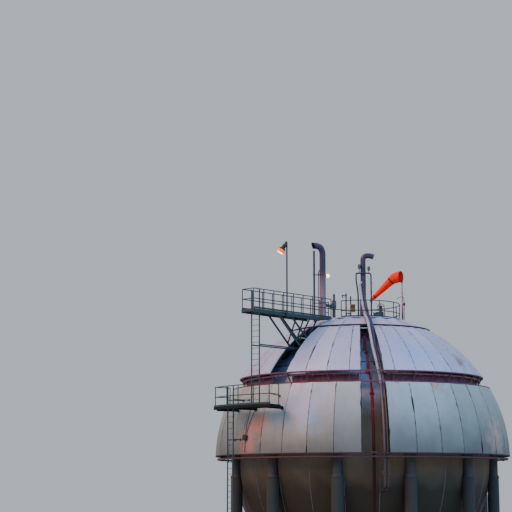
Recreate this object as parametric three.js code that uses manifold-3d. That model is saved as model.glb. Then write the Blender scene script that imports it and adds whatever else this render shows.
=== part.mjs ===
// Spherical gas tank: a welded steel shell on twelve fireproofed columns, with a
// stand-off sheet cladding over its upper half, deluge water pipes, an outside
// ladder, a bridge to the crown, vent pipes, a lamp and a windsock that swivels.
// Millimetres, +Z up. The origin is on the tank's axis at ground level.
// Azimuth 0 is the front (-Y) and grows towards +X.
import * as THREE from "three";
import { mergeVertices } from "three/addons/utils/BufferGeometryUtils.js";
import Module from "manifold-3d";

const wasm = await Module();
wasm.setup();

// Main sizes
const CENTRE_Z = 9500;
const SHELL_R = 7120;
const SHELL_WALL = 40;
const CLAD_R = 8200;
const CLAD_WALL = 40;
const PANEL_COUNT = 36;
const SEAT = 0.3;
const SEAM_DEG = 0.0015;

// Shell zones, as heights from the sphere's centre
const LOWER_SEAM = -5100;
const EQUATOR = 0;
const UPPER_SEAM = 5100;
const SHELL_SPLITS = [5, 125, 245, 365];

// Columns and sway rods
const COLUMN_COUNT = 12;
const FIRST_COLUMN = 20;
const COLUMN_R = 320;
const COLUMN_AXIS_R = 7240;
const COLUMN_TOP = 550;
const BASE_PLATE = 1000;
const BASE_PLATE_THICK = 40;
const ROD_R = 35;
const ROD_HIGH = -3300;
const ROD_LOW = -8300;
const BAYS_PER_NODE = 3;

// Cladding belts and crown, as heights from the sphere's centre
const LOWER_BELT = { low: 250, high: 3880, splits: [10, 130, 245, 360], turn: 0 };
const UPPER_BELT = { low: 4530, high: 7150, turn: 5 };
const UPPER_BELT_PARTS = { right: [10, 160], back: [160, 315], front: [325, 360] };
const CROWN_LOW = 7240;
const CROWN_TOP = 7800;

// Access steelwork
const BRIDGE_AZ = -39.5;
const BRIDGE_FLOOR = 7700;
const BRIDGE_INNER_R = 2500;
const BRIDGE_OUTER_R = 9200;
const BRIDGE_HALF = 450;
const FLOOR_THICK = 60;
const RAIL_HIGH = 1100;
const RAIL_MID = 550;
const POST_BAR = 50;
const RAIL_BAR = 42;
const LANDING_FLOOR = 2700;
const LANDING_AZ = [-58, -30];
const LANDING_R = [8250, 9250];
const LADDER_R = 8600;
const LADDER_HALF = 280;
const LADDER_BAR = 50;
const RUNG_PITCH = 300;
const LOWER_LADDER_AZ = -53.5;

// Pipes
const DELUGE_R = 50;
const RISER_AZ = [4.5, 2.3];
const RISER_PATH_R = 7880;
const VENT_LINE_AZ = [9.15, 7.2];
const VENT_LINE_PATH_R = 7900;
const VENT_LINE_R = 75;
const VENT_LINE_SIDE = 88;
const VENT_R = 150;

// Windsock
const MAST_AT = 2410;
const MAST_TOP = 10000;
const HOOP_HEIGHT = 10380;
const HOOP_R = 325;
const HOOP_BAR = 12;
const HOOP_OFFSET = 60;
const SOCK_REACH = 1800;
const SOCK_DROOP = { bend: 613, slope: 0.81, power: 1.42 };
const VANE_TURN = -25;
const SOCK_WALL = 8;

const radians = THREE.MathUtils.degToRad;
const UP = new THREE.Vector3(0, 0, 1);

function finish(color, roughness, metalness) {
  return new THREE.MeshStandardMaterial({ color, roughness, metalness });
}

const shellPaint = finish(0x6f6a62, 0.75, 0.2);
const fireproofing = finish(0x8a7f76, 0.95, 0);
const cladSheet = finish(0xb4bac4, 0.4, 0.7);
const rustySteel = finish(0x6e3a3a, 0.85, 0.3);
const redPipe = finish(0x8c1c26, 0.6, 0.2);
const tealSteel = finish(0x3c5a58, 0.6, 0.4);
const greyPipe = finish(0x4c5663, 0.55, 0.5);
const palePipe = finish(0x9aa3aa, 0.5, 0.5);
const valvePaint = finish(0x3a4a4c, 0.5, 0.4);
const orangeCloth = finish(0xe8380c, 0.9, 0);
const mastPaint = finish(0xb98a86, 0.6, 0.3);

const tank = new THREE.Group();
tank.name = "spherical_gas_tank";

// Directions and points

function outward(azimuth) {
  const a = radians(azimuth);
  return new THREE.Vector3(Math.sin(a), -Math.cos(a), 0);
}

function sideways(azimuth) {
  const a = radians(azimuth);
  return new THREE.Vector3(Math.cos(a), Math.sin(a), 0);
}

// A point given by its radius from the axis, its height from the sphere's centre
// and its offset along the tangent.
function point(azimuth, radius, height, side = 0) {
  return outward(azimuth)
    .multiplyScalar(radius)
    .addScaledVector(sideways(azimuth), side)
    .setZ(CENTRE_Z + height);
}

function onSphere(azimuth, latitude, sphereRadius, side = 0) {
  const a = radians(latitude);
  return point(azimuth, sphereRadius * Math.cos(a), sphereRadius * Math.sin(a), side);
}

// Points up the sphere between two latitudes, in equal steps. The azimuth is a
// function of the latitude, because the pipes lean as they climb.
function climb(azimuthAt, from, to, steps, sphereRadius, side = 0) {
  return Array.from({ length: steps + 1 }, (_, i) => {
    const latitude = from + ((to - from) * i) / steps;
    return onSphere(azimuthAt(latitude), latitude, sphereRadius, side);
  });
}

// Solids

function toSolid(geometry) {
  const bare = geometry.clone();
  bare.deleteAttribute("normal");
  bare.deleteAttribute("uv");
  const merged = mergeVertices(bare, 1e-4);
  const mesh = new wasm.Mesh({
    numProp: 3,
    vertProperties: merged.attributes.position.array,
    triVerts: new Uint32Array(merged.index.array),
  });
  return new wasm.Manifold(mesh);
}

function join(solids) {
  return solids.reduce((whole, next) => whole.add(next));
}

// Cutting a bar at both sides of a column leaves its far end loose: only the
// largest body is the piece.
function largest(solid) {
  return solid.decompose().reduce((a, b) => (a.volume() > b.volume() ? a : b));
}

function addPiece(name, solid, material) {
  const made = solid.getMesh();
  const geometry = new THREE.BufferGeometry();
  geometry.setAttribute("position", new THREE.BufferAttribute(made.vertProperties, 3));
  geometry.setIndex(new THREE.BufferAttribute(made.triVerts, 1));
  geometry.computeVertexNormals();
  const mesh = new THREE.Mesh(geometry, material);
  mesh.name = name;
  tank.add(mesh);
}

// A square or flat bar between two points. Its depth lies nearest to the
// reference direction and its width is across that.
function bar(from, to, width, depth = width, reference = UP) {
  const along = to.clone().sub(from);
  const length = along.length();
  along.normalize();
  const across = reference.clone().cross(along).normalize();
  const deep = along.clone().cross(across);
  const geometry = new THREE.BoxGeometry(width, depth, length);
  const middle = from.clone().add(to).multiplyScalar(0.5);
  geometry.applyMatrix4(new THREE.Matrix4().makeBasis(across, deep, along).setPosition(middle));
  return toSolid(geometry);
}

function tube(from, to, radius, sides = 6, endRadius = radius) {
  const along = to.clone().sub(from);
  const length = along.length();
  const geometry = new THREE.CylinderGeometry(endRadius, radius, length, sides);
  const turn = new THREE.Quaternion().setFromUnitVectors(
    new THREE.Vector3(0, 1, 0),
    along.normalize(),
  );
  geometry.applyQuaternion(turn);
  const middle = from.clone().add(to).multiplyScalar(0.5);
  geometry.translate(middle.x, middle.y, middle.z);
  return toSolid(geometry);
}

// A pipe with a round section swept through points on one smooth curve.
function pipe(points, radius, steps, sides = 8) {
  const section = new THREE.Shape();
  for (let i = 0; i < sides; i += 1) {
    const a = (2 * Math.PI * i) / sides;
    const move = i === 0 ? "moveTo" : "lineTo";
    section[move](radius * Math.cos(a), radius * Math.sin(a));
  }
  const extrudePath = new THREE.CatmullRomCurve3(points, false, "centripetal");
  return toSolid(new THREE.ExtrudeGeometry(section, { steps, bevelEnabled: false, extrudePath }));
}

// A ring or cap turned about the tank's axis. The profile lists radius and height
// pairs, counter-clockwise, and either closes on itself or ends on the axis.
function turned(profile, startAzimuth = 0, segments = PANEL_COUNT) {
  const points = profile.map(([r, h]) => new THREE.Vector2(r, CENTRE_Z + h));
  if (profile[0][0] > 1) {
    points.push(points[0].clone());
  }
  const geometry = new THREE.LatheGeometry(points, segments, radians(startAzimuth));
  geometry.rotateX(Math.PI / 2);
  return toSolid(geometry);
}

// Points of a sphere's meridian between two heights.
function arc(radius, from, to, steps) {
  const first = Math.asin(from / radius);
  const last = Math.asin(to / radius);
  return Array.from({ length: steps + 1 }, (_, i) => {
    const a = first + ((last - first) * i) / steps;
    const r = radius * Math.cos(a);
    return [r > 1e-6 ? r : 0, i === 0 ? from : i === steps ? to : radius * Math.sin(a)];
  });
}

function box(rLow, rHigh, low, high) {
  return [
    [rLow, low],
    [rHigh, low],
    [rHigh, high],
    [rLow, high],
  ];
}

function bandProfile(radius, wall, low, high, steps) {
  return [...arc(radius, low, high, steps), ...arc(radius - wall, high, low, steps)];
}

// The block between two azimuths, kept back a hair from each so that
// neighbouring pieces don't touch.
function sector(fromAzimuth, toAzimuth) {
  const reach = 20000;
  const parts = 3;
  const shape = new THREE.Shape();
  shape.moveTo(0, 0);
  for (let i = 0; i <= parts; i += 1) {
    const start = fromAzimuth + SEAM_DEG;
    const span = toAzimuth - fromAzimuth - 2 * SEAM_DEG;
    const p = outward(start + (span * i) / parts).multiplyScalar(reach);
    shape.lineTo(p.x, p.y);
  }
  return toSolid(new THREE.ExtrudeGeometry(shape, { depth: 30000, bevelEnabled: false }));
}

// Solid blocks one seat wider than the pieces they stand for, used to cut the
// pieces that rest on those
const shellSteps = 3;
const wider = SHELL_R + SEAT;
const shellBlock = turned([
  ...arc(wider, -wider, LOWER_SEAM, shellSteps),
  ...arc(wider, LOWER_SEAM, EQUATOR, shellSteps).slice(1),
  ...arc(wider, EQUATOR, UPPER_SEAM, shellSteps).slice(1),
  ...arc(wider, UPPER_SEAM, wider, shellSteps).slice(1),
]);
const beltSteps = 3;
const beltBlock = turned([
  [0, LOWER_BELT.low],
  ...arc(CLAD_R + SEAT, LOWER_BELT.low, LOWER_BELT.high, beltSteps),
  [0, LOWER_BELT.high],
]);
const crownSteps = 2;
const crownBlock = turned([
  [0, CROWN_LOW],
  ...arc(CLAD_R + SEAT, CROWN_LOW, CROWN_TOP, crownSteps),
  [0, CROWN_TOP],
], UPPER_BELT.turn);

// Shell

function buildShell() {
  const zones = { lower: [LOWER_SEAM, EQUATOR], upper: [EQUATOR, UPPER_SEAM] };
  for (const [zone, [low, high]] of Object.entries(zones)) {
    const ring = turned(bandProfile(SHELL_R, SHELL_WALL, low, high, shellSteps));
    for (let i = 0; i < SHELL_SPLITS.length - 1; i += 1) {
      const petal = ring.intersect(sector(SHELL_SPLITS[i], SHELL_SPLITS[i + 1]));
      addPiece(`shell_${zone}_petal_${i + 1}`, petal, shellPaint);
    }
  }
  const inner = SHELL_R - SHELL_WALL;
  const bottom = turned([
    ...arc(SHELL_R, -SHELL_R, LOWER_SEAM, shellSteps),
    ...arc(inner, LOWER_SEAM, -inner, shellSteps),
  ]);
  addPiece("shell_bottom_head", bottom, shellPaint);
  const top = turned([
    ...arc(inner, inner, UPPER_SEAM, shellSteps),
    ...arc(SHELL_R, UPPER_SEAM, SHELL_R, shellSteps),
  ]);
  addPiece("shell_top_head", top, shellPaint);
}

// The drain nozzle under the shell, closed by a blind flange.
function buildBottomNozzle() {
  const neck = tube(point(0, 0, -SHELL_R - 420), point(0, 0, -SHELL_R + 60), 160, 12);
  const flange = tube(point(0, 0, -SHELL_R - 480), point(0, 0, -SHELL_R - 400), 270, 12);
  addPiece("bottom_nozzle", join([neck, flange]).subtract(shellBlock), shellPaint);
}

// Columns

function columnAzimuth(index) {
  return FIRST_COLUMN + (360 / COLUMN_COUNT) * index;
}

function columnPrism(index, radius, low = -CENTRE_Z, high = COLUMN_TOP) {
  const azimuth = columnAzimuth(index);
  const geometry = new THREE.CylinderGeometry(radius, radius, high - low, 12);
  geometry.rotateX(Math.PI / 2);
  geometry.rotateZ(radians(azimuth + 15));
  const at = point(azimuth, COLUMN_AXIS_R, (low + high) / 2);
  geometry.translate(at.x, at.y, at.z);
  return toSolid(geometry);
}

function buildColumns() {
  for (let i = 0; i < COLUMN_COUNT; i += 1) {
    const azimuth = columnAzimuth(i);
    const plate = new THREE.BoxGeometry(BASE_PLATE, BASE_PLATE, BASE_PLATE_THICK);
    plate.rotateZ(radians(azimuth));
    const at = point(azimuth, COLUMN_AXIS_R, BASE_PLATE_THICK / 2 - CENTRE_Z);
    plate.translate(at.x, at.y, at.z);
    const column = columnPrism(i, COLUMN_R).add(toSolid(plate)).subtract(shellBlock);
    addPiece(`column_${String(i + 1).padStart(2, "0")}`, column, fireproofing);
  }
}

// Sway rods cross in each bay. Each rod ends in a gusset at its column, and a
// strap round the column's outer side ties two neighbouring bays together.
function buildSwayRods() {
  const gussetReach = 620;
  const rodReach = 540;
  const gussetHigh = 300;
  const gussetThick = 30;
  const strapSide = COLUMN_R + 60;
  const strapHigh = 160;
  for (let group = 0; group < COLUMN_COUNT / BAYS_PER_NODE; group += 1) {
    const first = group * BAYS_PER_NODE;
    const solids = [];
    const columns = [];
    for (let bay = first; bay < first + BAYS_PER_NODE; bay += 1) {
      const ends = [bay, bay + 1].map((i) => columnAzimuth(i));
      for (const [a, b] of [ends, [ends[1], ends[0]]]) {
        const tips = [];
        for (const height of [ROD_HIGH, ROD_LOW]) {
          const here = point(a, COLUMN_AXIS_R, height);
          const there = point(b, COLUMN_AXIS_R, height);
          const span = here.distanceTo(there);
          solids.push(bar(here, here.clone().lerp(there, gussetReach / span), gussetThick, gussetHigh));
          tips.push(height === ROD_HIGH
            ? here.clone().lerp(there, rodReach / span)
            : there.clone().lerp(here, rodReach / span));
        }
        solids.push(tube(tips[0], tips[1], ROD_R, 6));
      }
    }
    for (let i = first; i <= first + BAYS_PER_NODE; i += 1) {
      columns.push(columnPrism(i % COLUMN_COUNT, COLUMN_R + SEAT));
      const inside = i > first && i < first + BAYS_PER_NODE;
      for (const height of inside ? [ROD_HIGH, ROD_LOW] : []) {
        const ears = [-strapSide, strapSide].map((side) => (
          point(columnAzimuth(i), COLUMN_AXIS_R, height, side)
        ));
        const shoulders = [-strapSide / 2, strapSide / 2].map((side) => (
          point(columnAzimuth(i), COLUMN_AXIS_R + strapSide * 0.87, height, side)
        ));
        const route = [ears[0], ...shoulders, ears[1]];
        for (let j = 0; j < route.length - 1; j += 1) {
          const along = route[j + 1].clone().sub(route[j]).setLength(12);
          const from = route[j].clone().sub(along);
          solids.push(bar(from, route[j + 1].clone().add(along), 24, strapHigh));
        }
      }
    }
    const rods = join(solids).subtract(join(columns));
    addPiece(`sway_rods_${group + 1}`, largest(rods), rustySteel);
  }
}

// Cladding

function buildCladding() {
  const { low, high, splits } = LOWER_BELT;
  const lower = turned(bandProfile(CLAD_R, CLAD_WALL, low, high, beltSteps));
  const sides = ["right", "back", "left"];
  sides.forEach((side, i) => {
    addPiece(`lower_belt_${side}`, lower.intersect(sector(splits[i], splits[i + 1])), cladSheet);
  });
  const profile = bandProfile(CLAD_R, CLAD_WALL, UPPER_BELT.low, UPPER_BELT.high, beltSteps);
  const upper = turned(profile, UPPER_BELT.turn);
  for (const [side, [from, to]] of Object.entries(UPPER_BELT_PARTS)) {
    addPiece(`upper_belt_${side}`, upper.intersect(sector(from, to)), cladSheet);
  }
  const inner = CLAD_R - CLAD_WALL;
  const crown = turned([
    [0, CROWN_TOP - CLAD_WALL],
    ...arc(inner, CROWN_TOP - CLAD_WALL, CROWN_LOW, crownSteps),
    ...arc(CLAD_R, CROWN_LOW, CROWN_TOP, crownSteps),
    [0, CROWN_TOP],
  ], UPPER_BELT.turn);
  addPiece("crown_cap", crown, cladSheet);
}

// The ledger under the lower belt, carried by a bracket on each column.
function buildLowerLedger() {
  const top = LOWER_BELT.low;
  const high = 60;
  const solids = [turned(box(8060, 8190, top - high, top))];
  const columns = [];
  for (let i = 0; i < COLUMN_COUNT; i += 1) {
    const azimuth = columnAzimuth(i);
    const from = point(azimuth, COLUMN_AXIS_R, top - high / 2);
    solids.push(bar(from, point(azimuth, 8100, top - high / 2), 80, high));
    columns.push(columnPrism(i, COLUMN_R + SEAT));
  }
  const ledger = join(solids).subtract(join(columns)).subtract(shellBlock);
  addPiece("lower_ledger", largest(ledger), rustySteel);
}

// The frame in the gap between the belts: a rim on the lower belt, a ledger
// under the upper belt, an inner ring on level arms from the shell, and slanted
// brackets at every third panel.
const INNER_RING = { radius: 6430, height: 3940 };
const BRACKET_TOP = { radius: 6775, height: 4500 };
const BRACKET_BAR = 40;
const BRACKET_STEP = 3;

function buildMidFrame() {
  const rim = turned(box(7100, 7200, LOWER_BELT.high, LOWER_BELT.high + 60));
  const ledgerTop = UPPER_BELT.low;
  const ledger = turned(box(6720, 6830, ledgerTop - 60, ledgerTop));
  const half = 30;
  const { radius, height } = INNER_RING;
  const inner = turned(box(radius - half, radius + half, height - half, height + half));
  const solids = [rim, ledger, inner];
  for (let i = 0; i < COLUMN_COUNT; i += 1) {
    const azimuth = columnAzimuth(i);
    const level = LOWER_BELT.high + half + 5;
    solids.push(bar(point(azimuth, 5700, level), point(azimuth, 7150, level), 70, 50));
  }
  for (let i = 1; i < PANEL_COUNT; i += BRACKET_STEP) {
    const azimuth = UPPER_BELT.turn + (360 / PANEL_COUNT) * i;
    const from = point(azimuth, radius, height);
    const to = point(azimuth, BRACKET_TOP.radius, BRACKET_TOP.height);
    solids.push(bar(from, to, BRACKET_BAR));
  }
  addPiece("mid_frame", join(solids).subtract(shellBlock), rustySteel);
}

// The ring between the upper belt and the crown, on posts from the shell.
function buildCrownRing() {
  const solids = [turned(box(3750, 3945, UPPER_BELT.high, CROWN_LOW), UPPER_BELT.turn)];
  for (let i = 0; i < COLUMN_COUNT; i += 1) {
    const azimuth = columnAzimuth(i);
    const out = outward(azimuth);
    const low = point(azimuth, 3800, 5700);
    solids.push(bar(low, point(azimuth, 3800, CROWN_LOW - 20), 80, 80, out));
  }
  addPiece("crown_ring", join(solids).subtract(shellBlock), rustySteel);
}

// Deluge pipes. The upper ring is open at the bay where the risers climb.
const UPPER_DELUGE = { radius: 6600, height: 4360, open: [2, 12] };

function torus(radius, height, thickness, sides = 5, around = PANEL_COUNT) {
  const geometry = new THREE.TorusGeometry(radius, thickness, sides, around);
  geometry.translate(0, 0, CENTRE_Z + height);
  return toSolid(geometry);
}

function buildDelugePipes() {
  const lowHeight = 50;
  const lowRadius = 8050;
  const hangers = [];
  for (let i = 0; i < COLUMN_COUNT; i += 1) {
    const azimuth = columnAzimuth(i) + 10;
    const low = point(azimuth, lowRadius + 35, lowHeight);
    const high = point(azimuth, lowRadius + 35, LOWER_BELT.low - 60 - SEAT);
    hangers.push(bar(low, high, 30, 30, outward(azimuth)));
  }
  const low = join([torus(lowRadius, lowHeight, DELUGE_R), ...hangers]);
  addPiece("lower_deluge_ring", low, redPipe);

  const { radius, height, open } = UPPER_DELUGE;
  const ring = torus(radius, height, DELUGE_R).subtract(sector(...open));
  const slope = new THREE.Vector2(
    BRACKET_TOP.radius - INNER_RING.radius,
    BRACKET_TOP.height - INNER_RING.height,
  ).normalize();
  const normal = new THREE.Vector2(slope.y, -slope.x);
  const gap = new THREE.Vector2(BRACKET_TOP.radius - radius, BRACKET_TOP.height - height);
  const reach = gap.dot(normal) - BRACKET_BAR / 2 - SEAT;
  const stubs = [];
  for (let i = 1; i < PANEL_COUNT; i += BRACKET_STEP) {
    const azimuth = UPPER_BELT.turn + (360 / PANEL_COUNT) * i;
    const from = point(azimuth, radius, height);
    const to = point(azimuth, radius + normal.x * reach, height + normal.y * reach);
    stubs.push(bar(from, to, 30, 30));
  }
  addPiece("upper_deluge_ring", join([ring, ...stubs]), redPipe);
}

// A pipe keeps its azimuth up to one latitude and leans to another above it.
function leaning([low, high], fromLatitude, toLatitude) {
  return (latitude) => {
    const t = THREE.MathUtils.clamp((latitude - fromLatitude) / (toLatitude - fromLatitude), 0, 1);
    return low + (high - low) * t;
  };
}

// The fire water riser climbs the open bay between two cladding panels.
function buildRiser() {
  const wide = 80;
  const slim = 50;
  const change = 26;
  const top = 58;
  const azimuthAt = leaning(RISER_AZ, change, top);
  const foot = point(RISER_AZ[0], RISER_PATH_R, -CENTRE_Z);
  const start = point(RISER_AZ[0], RISER_PATH_R, 60);
  const solids = [
    tube(foot, start, wide, 8),
    tube(foot, foot.clone().add(new THREE.Vector3(0, 0, 30)), 150, 12),
    pipe(climb(azimuthAt, 0, change, 4, RISER_PATH_R), wide, 4),
    pipe(climb(azimuthAt, change, top, 4, RISER_PATH_R), slim, 4, 6),
  ];
  for (const [latitude, r] of [[24, 125], [44, 90], [57, 80]]) {
    const [from, to] = climb(azimuthAt, latitude, latitude + 1, 1, RISER_PATH_R);
    solids.push(tube(from, to, r, 8));
  }
  for (const latitude of [2, 18, 40, 55]) {
    const azimuth = azimuthAt(latitude);
    const from = onSphere(azimuth, latitude, SHELL_R - 60);
    solids.push(bar(from, onSphere(azimuth, latitude, RISER_PATH_R), 50, 50));
  }
  const teeLatitude = THREE.MathUtils.radToDeg(Math.atan2(UPPER_DELUGE.height, UPPER_DELUGE.radius));
  const tee = point(azimuthAt(teeLatitude), UPPER_DELUGE.radius, UPPER_DELUGE.height);
  const ringEndAz = UPPER_DELUGE.open[0] + 0.011;
  const ringEnd = point(ringEndAz, UPPER_DELUGE.radius, UPPER_DELUGE.height);
  solids.push(tube(tee, ringEnd, DELUGE_R - 5, 8));
  addPiece("fire_water_riser", join(solids).subtract(shellBlock), redPipe);
}

// Two grey lines run side by side from nozzles below the equator, up the open
// bay and over the crown to the centre vent.
const CENTRE_VENT_AT = new THREE.Vector3(200, -1300, 0);

function ventPipe(extra = 0) {
  const low = CENTRE_VENT_AT.clone().setZ(CENTRE_Z + CROWN_TOP);
  const high = CENTRE_VENT_AT.clone().setZ(CENTRE_Z + 11000);
  return tube(low, high, VENT_R + extra, 10);
}

function buildVentLines() {
  const overCrown = 8370;
  const lowest = -1500;
  const riseR = Math.sqrt(VENT_LINE_PATH_R ** 2 - lowest ** 2);
  const azimuthAt = leaning(VENT_LINE_AZ, 30, 59);
  const [lowAz] = VENT_LINE_AZ;
  const crownAz = 9.2;
  const topAz = 3.2;
  const topR = 1600;
  const solids = [];
  for (const side of [-VENT_LINE_SIDE, VENT_LINE_SIDE]) {
    const path = [
      point(lowAz, riseR, lowest, side),
      ...climb(azimuthAt, 0, 48, 4, VENT_LINE_PATH_R, side),
      ...climb(azimuthAt, 59, 72, 2, overCrown, side),
      point(crownAz, 2250, 8030, side),
      point(crownAz, 1900, 8230, side),
      point(6, 1650, 9000, side),
      point(topAz, topR, 9800, side),
    ];
    solids.push(pipe(path, VENT_LINE_R, 24, 6));
    const elbow = point(lowAz, riseR, lowest + 40, side);
    solids.push(tube(elbow, point(lowAz, SHELL_R - 400, lowest + 40, side), VENT_LINE_R, 8));
    const top = point(topAz, topR, 9760, side);
    solids.push(tube(top, CENTRE_VENT_AT.clone().setZ(CENTRE_Z + 9900), 60, 8));
  }
  for (const latitude of [-6, 8, 22, 44]) {
    const saddleR = VENT_LINE_PATH_R - VENT_LINE_R - 5;
    const azimuth = azimuthAt(latitude);
    const left = onSphere(azimuth, latitude, saddleR, -150);
    const right = onSphere(azimuth, latitude, saddleR, 150);
    solids.push(bar(left, right, 60, 40));
    const leg = onSphere(azimuth, latitude, SHELL_R - 60);
    solids.push(bar(leg, onSphere(azimuth, latitude, saddleR), 60, 60));
  }
  const lines = join(solids).subtract(shellBlock).subtract(ventPipe(SEAT));
  addPiece("vent_line_pair", largest(lines), greyPipe);
}

// Crown railing

function buildCrownRailing() {
  const radius = 2250;
  const posts = 13;
  const opening = 24;
  const span = 360 - opening;
  const start = BRIDGE_AZ + opening / 2;
  const cut = sector(BRIDGE_AZ - opening / 2 + 0.6, BRIDGE_AZ + opening / 2 - 0.6);
  const solids = [];
  for (const height of [400, 960]) {
    solids.push(torus(radius, CROWN_TOP + height, 24, 4, 30).subtract(cut));
  }
  for (let i = 0; i < posts; i += 1) {
    const azimuth = start + (span * i) / (posts - 1);
    const low = point(azimuth, radius, CROWN_TOP);
    solids.push(bar(low, point(azimuth, radius, CROWN_TOP + 970), 50, 50, outward(azimuth)));
  }
  addPiece("crown_railing", join(solids), tealSteel);
}

// Ladders, as two stiles and round rungs

function ladder(azimuth, bottom, top) {
  const out = outward(azimuth);
  const solids = [];
  for (const side of [-LADDER_HALF, LADDER_HALF]) {
    const low = point(azimuth, LADDER_R, bottom, side);
    solids.push(bar(low, point(azimuth, LADDER_R, top, side), LADDER_BAR, LADDER_BAR, out));
  }
  const climb = top - RAIL_HIGH;
  for (let height = bottom + RUNG_PITCH; height <= climb; height += RUNG_PITCH) {
    const left = point(azimuth, LADDER_R, height, -LADDER_HALF);
    solids.push(bar(left, point(azimuth, LADDER_R, height, LADDER_HALF), 24));
  }
  return solids;
}

function buildUpperLadder() {
  const solids = ladder(BRIDGE_AZ, LANDING_FLOOR, BRIDGE_FLOOR + RAIL_HIGH);
  for (const side of [-LADDER_HALF, LADDER_HALF]) {
    const inner = point(BRIDGE_AZ, 3800, 5900, side);
    solids.push(bar(inner, point(BRIDGE_AZ, LADDER_R, 5900, side), LADDER_BAR, 60));
  }
  addPiece("upper_ladder", join(solids).subtract(shellBlock), tealSteel);
}

function buildLowerLadder() {
  const solids = ladder(LOWER_LADDER_AZ, -CENTRE_Z, LANDING_FLOOR + RAIL_HIGH);
  const tieHeights = [1000, 3100];
  for (const side of [-LADDER_HALF, LADDER_HALF]) {
    for (const height of tieHeights) {
      const inner = point(LOWER_LADDER_AZ, 7000, height, side);
      solids.push(bar(inner, point(LOWER_LADDER_AZ, LADDER_R, height, side), 40, 40));
    }
  }
  const stay = -4300;
  const neighbours = [-70, -40];
  const columns = [];
  neighbours.forEach((azimuth, i) => {
    const side = i === 0 ? -LADDER_HALF : LADDER_HALF;
    const foot = point(azimuth, COLUMN_AXIS_R, stay);
    solids.push(bar(foot, point(LOWER_LADDER_AZ, LADDER_R, stay, side), 50, 60));
    const index = (azimuth + 360 - FIRST_COLUMN) / (360 / COLUMN_COUNT);
    columns.push(columnPrism(index, COLUMN_R + SEAT));
  });
  const whole = join(solids).subtract(join(columns)).subtract(beltBlock);
  addPiece("lower_ladder", largest(whole), tealSteel);
}

// A block in a turned frame, with its length along the radius.
function block(azimuth, rLow, rHigh, halfWidth, low, high, side = 0) {
  const middle = (low + high) / 2;
  const from = point(azimuth, rLow, middle, side);
  return bar(from, point(azimuth, rHigh, middle, side), 2 * halfWidth, high - low);
}

// The landing half-way up the cladding, where the two ladders meet.
function buildLanding() {
  const low = LANDING_FLOOR - FLOOR_THICK;
  const floor = turned(box(LANDING_R[0], LANDING_R[1], low, LANDING_FLOOR));
  const solids = [floor.intersect(sector(LANDING_AZ[0], LANDING_AZ[1]))];
  for (const azimuth of [-57, -45, -31.5]) {
    solids.push(block(azimuth, 7400, LANDING_R[1] - 120, 36, low - 130, low + 20));
  }
  const hatch = block(LOWER_LADDER_AZ, 8480, 9150, 320, low - 1, LANDING_FLOOR + 1);
  const landing = join(solids).subtract(hatch).subtract(beltBlock);
  addPiece("landing", largest(landing), tealSteel);
}

function buildLandingRailing() {
  const edge = LANDING_R[1] - 60;
  const inner = LANDING_R[0] + 60;
  const corners = [
    [LANDING_AZ[0] + 0.6, inner],
    [LANDING_AZ[0] + 0.6, edge],
    [-50, edge],
    [-44, edge],
    [-37, edge],
    [LANDING_AZ[1] - 0.6, edge],
    [LANDING_AZ[1] - 0.6, inner],
  ];
  const solids = [];
  corners.forEach(([azimuth, radius], i) => {
    const foot = point(azimuth, radius, LANDING_FLOOR);
    const head = point(azimuth, radius, LANDING_FLOOR + RAIL_HIGH);
    solids.push(bar(foot, head, POST_BAR, POST_BAR, outward(azimuth)));
    if (i === 0) {
      return;
    }
    const [beforeAz, beforeR] = corners[i - 1];
    for (const height of [RAIL_MID, RAIL_HIGH - RAIL_BAR / 2]) {
      const from = point(beforeAz, beforeR, LANDING_FLOOR + height);
      solids.push(bar(from, point(azimuth, radius, LANDING_FLOOR + height), RAIL_BAR));
    }
  });
  addPiece("landing_railing", join(solids), tealSteel);
}

// The bridge from the ladder to the crown, on two pairs of slanted struts that
// stand on the shell inside an open bay of the cladding.
function buildBridge() {
  const low = BRIDGE_FLOOR - FLOOR_THICK;
  const deck = block(BRIDGE_AZ, BRIDGE_INNER_R, BRIDGE_OUTER_R, BRIDGE_HALF, low, BRIDGE_FLOOR);
  const hatch = block(BRIDGE_AZ, 8520, 9130, 330, low - 1, BRIDGE_FLOOR + 1);
  const solids = [deck.subtract(hatch)];
  const struts = [
    [7270, 4660, 5200],
    [6250, 4080, 5690],
  ];
  for (const side of [-345, 345]) {
    for (const [topR, footR, footHeight] of struts) {
      const top = point(BRIDGE_AZ, topR, low + 30, side);
      solids.push(bar(top, point(BRIDGE_AZ, footR, footHeight, side), 60, 80));
    }
  }
  for (const side of [-415, 415]) {
    solids.push(block(BRIDGE_AZ, 4000, BRIDGE_OUTER_R - 5, 30, low - 120, low + 10, side));
  }
  const bridge = join(solids).subtract(shellBlock).subtract(crownBlock);
  addPiece("bridge", largest(bridge), tealSteel);
}

function buildBridgeRailing() {
  const half = BRIDGE_HALF - 40;
  const first = 3000;
  const last = BRIDGE_OUTER_R - 30;
  const posts = 5;
  const solids = [];
  const heights = [RAIL_MID, RAIL_HIGH - RAIL_BAR / 2].map((h) => BRIDGE_FLOOR + h);
  for (const side of [-half, half]) {
    for (let i = 0; i < posts; i += 1) {
      const r = first + ((last - first) * i) / (posts - 1);
      const foot = point(BRIDGE_AZ, r, BRIDGE_FLOOR, side);
      const head = point(BRIDGE_AZ, r, BRIDGE_FLOOR + RAIL_HIGH, side);
      solids.push(bar(foot, head, POST_BAR, POST_BAR, outward(BRIDGE_AZ)));
    }
    for (const height of heights) {
      const from = point(BRIDGE_AZ, first, height, side);
      solids.push(bar(from, point(BRIDGE_AZ, last, height, side), RAIL_BAR));
    }
  }
  for (const height of heights) {
    const from = point(BRIDGE_AZ, last, height, -half);
    solids.push(bar(from, point(BRIDGE_AZ, last, height, half), RAIL_BAR));
  }
  addPiece("bridge_railing", join(solids), tealSteel);
}

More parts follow.
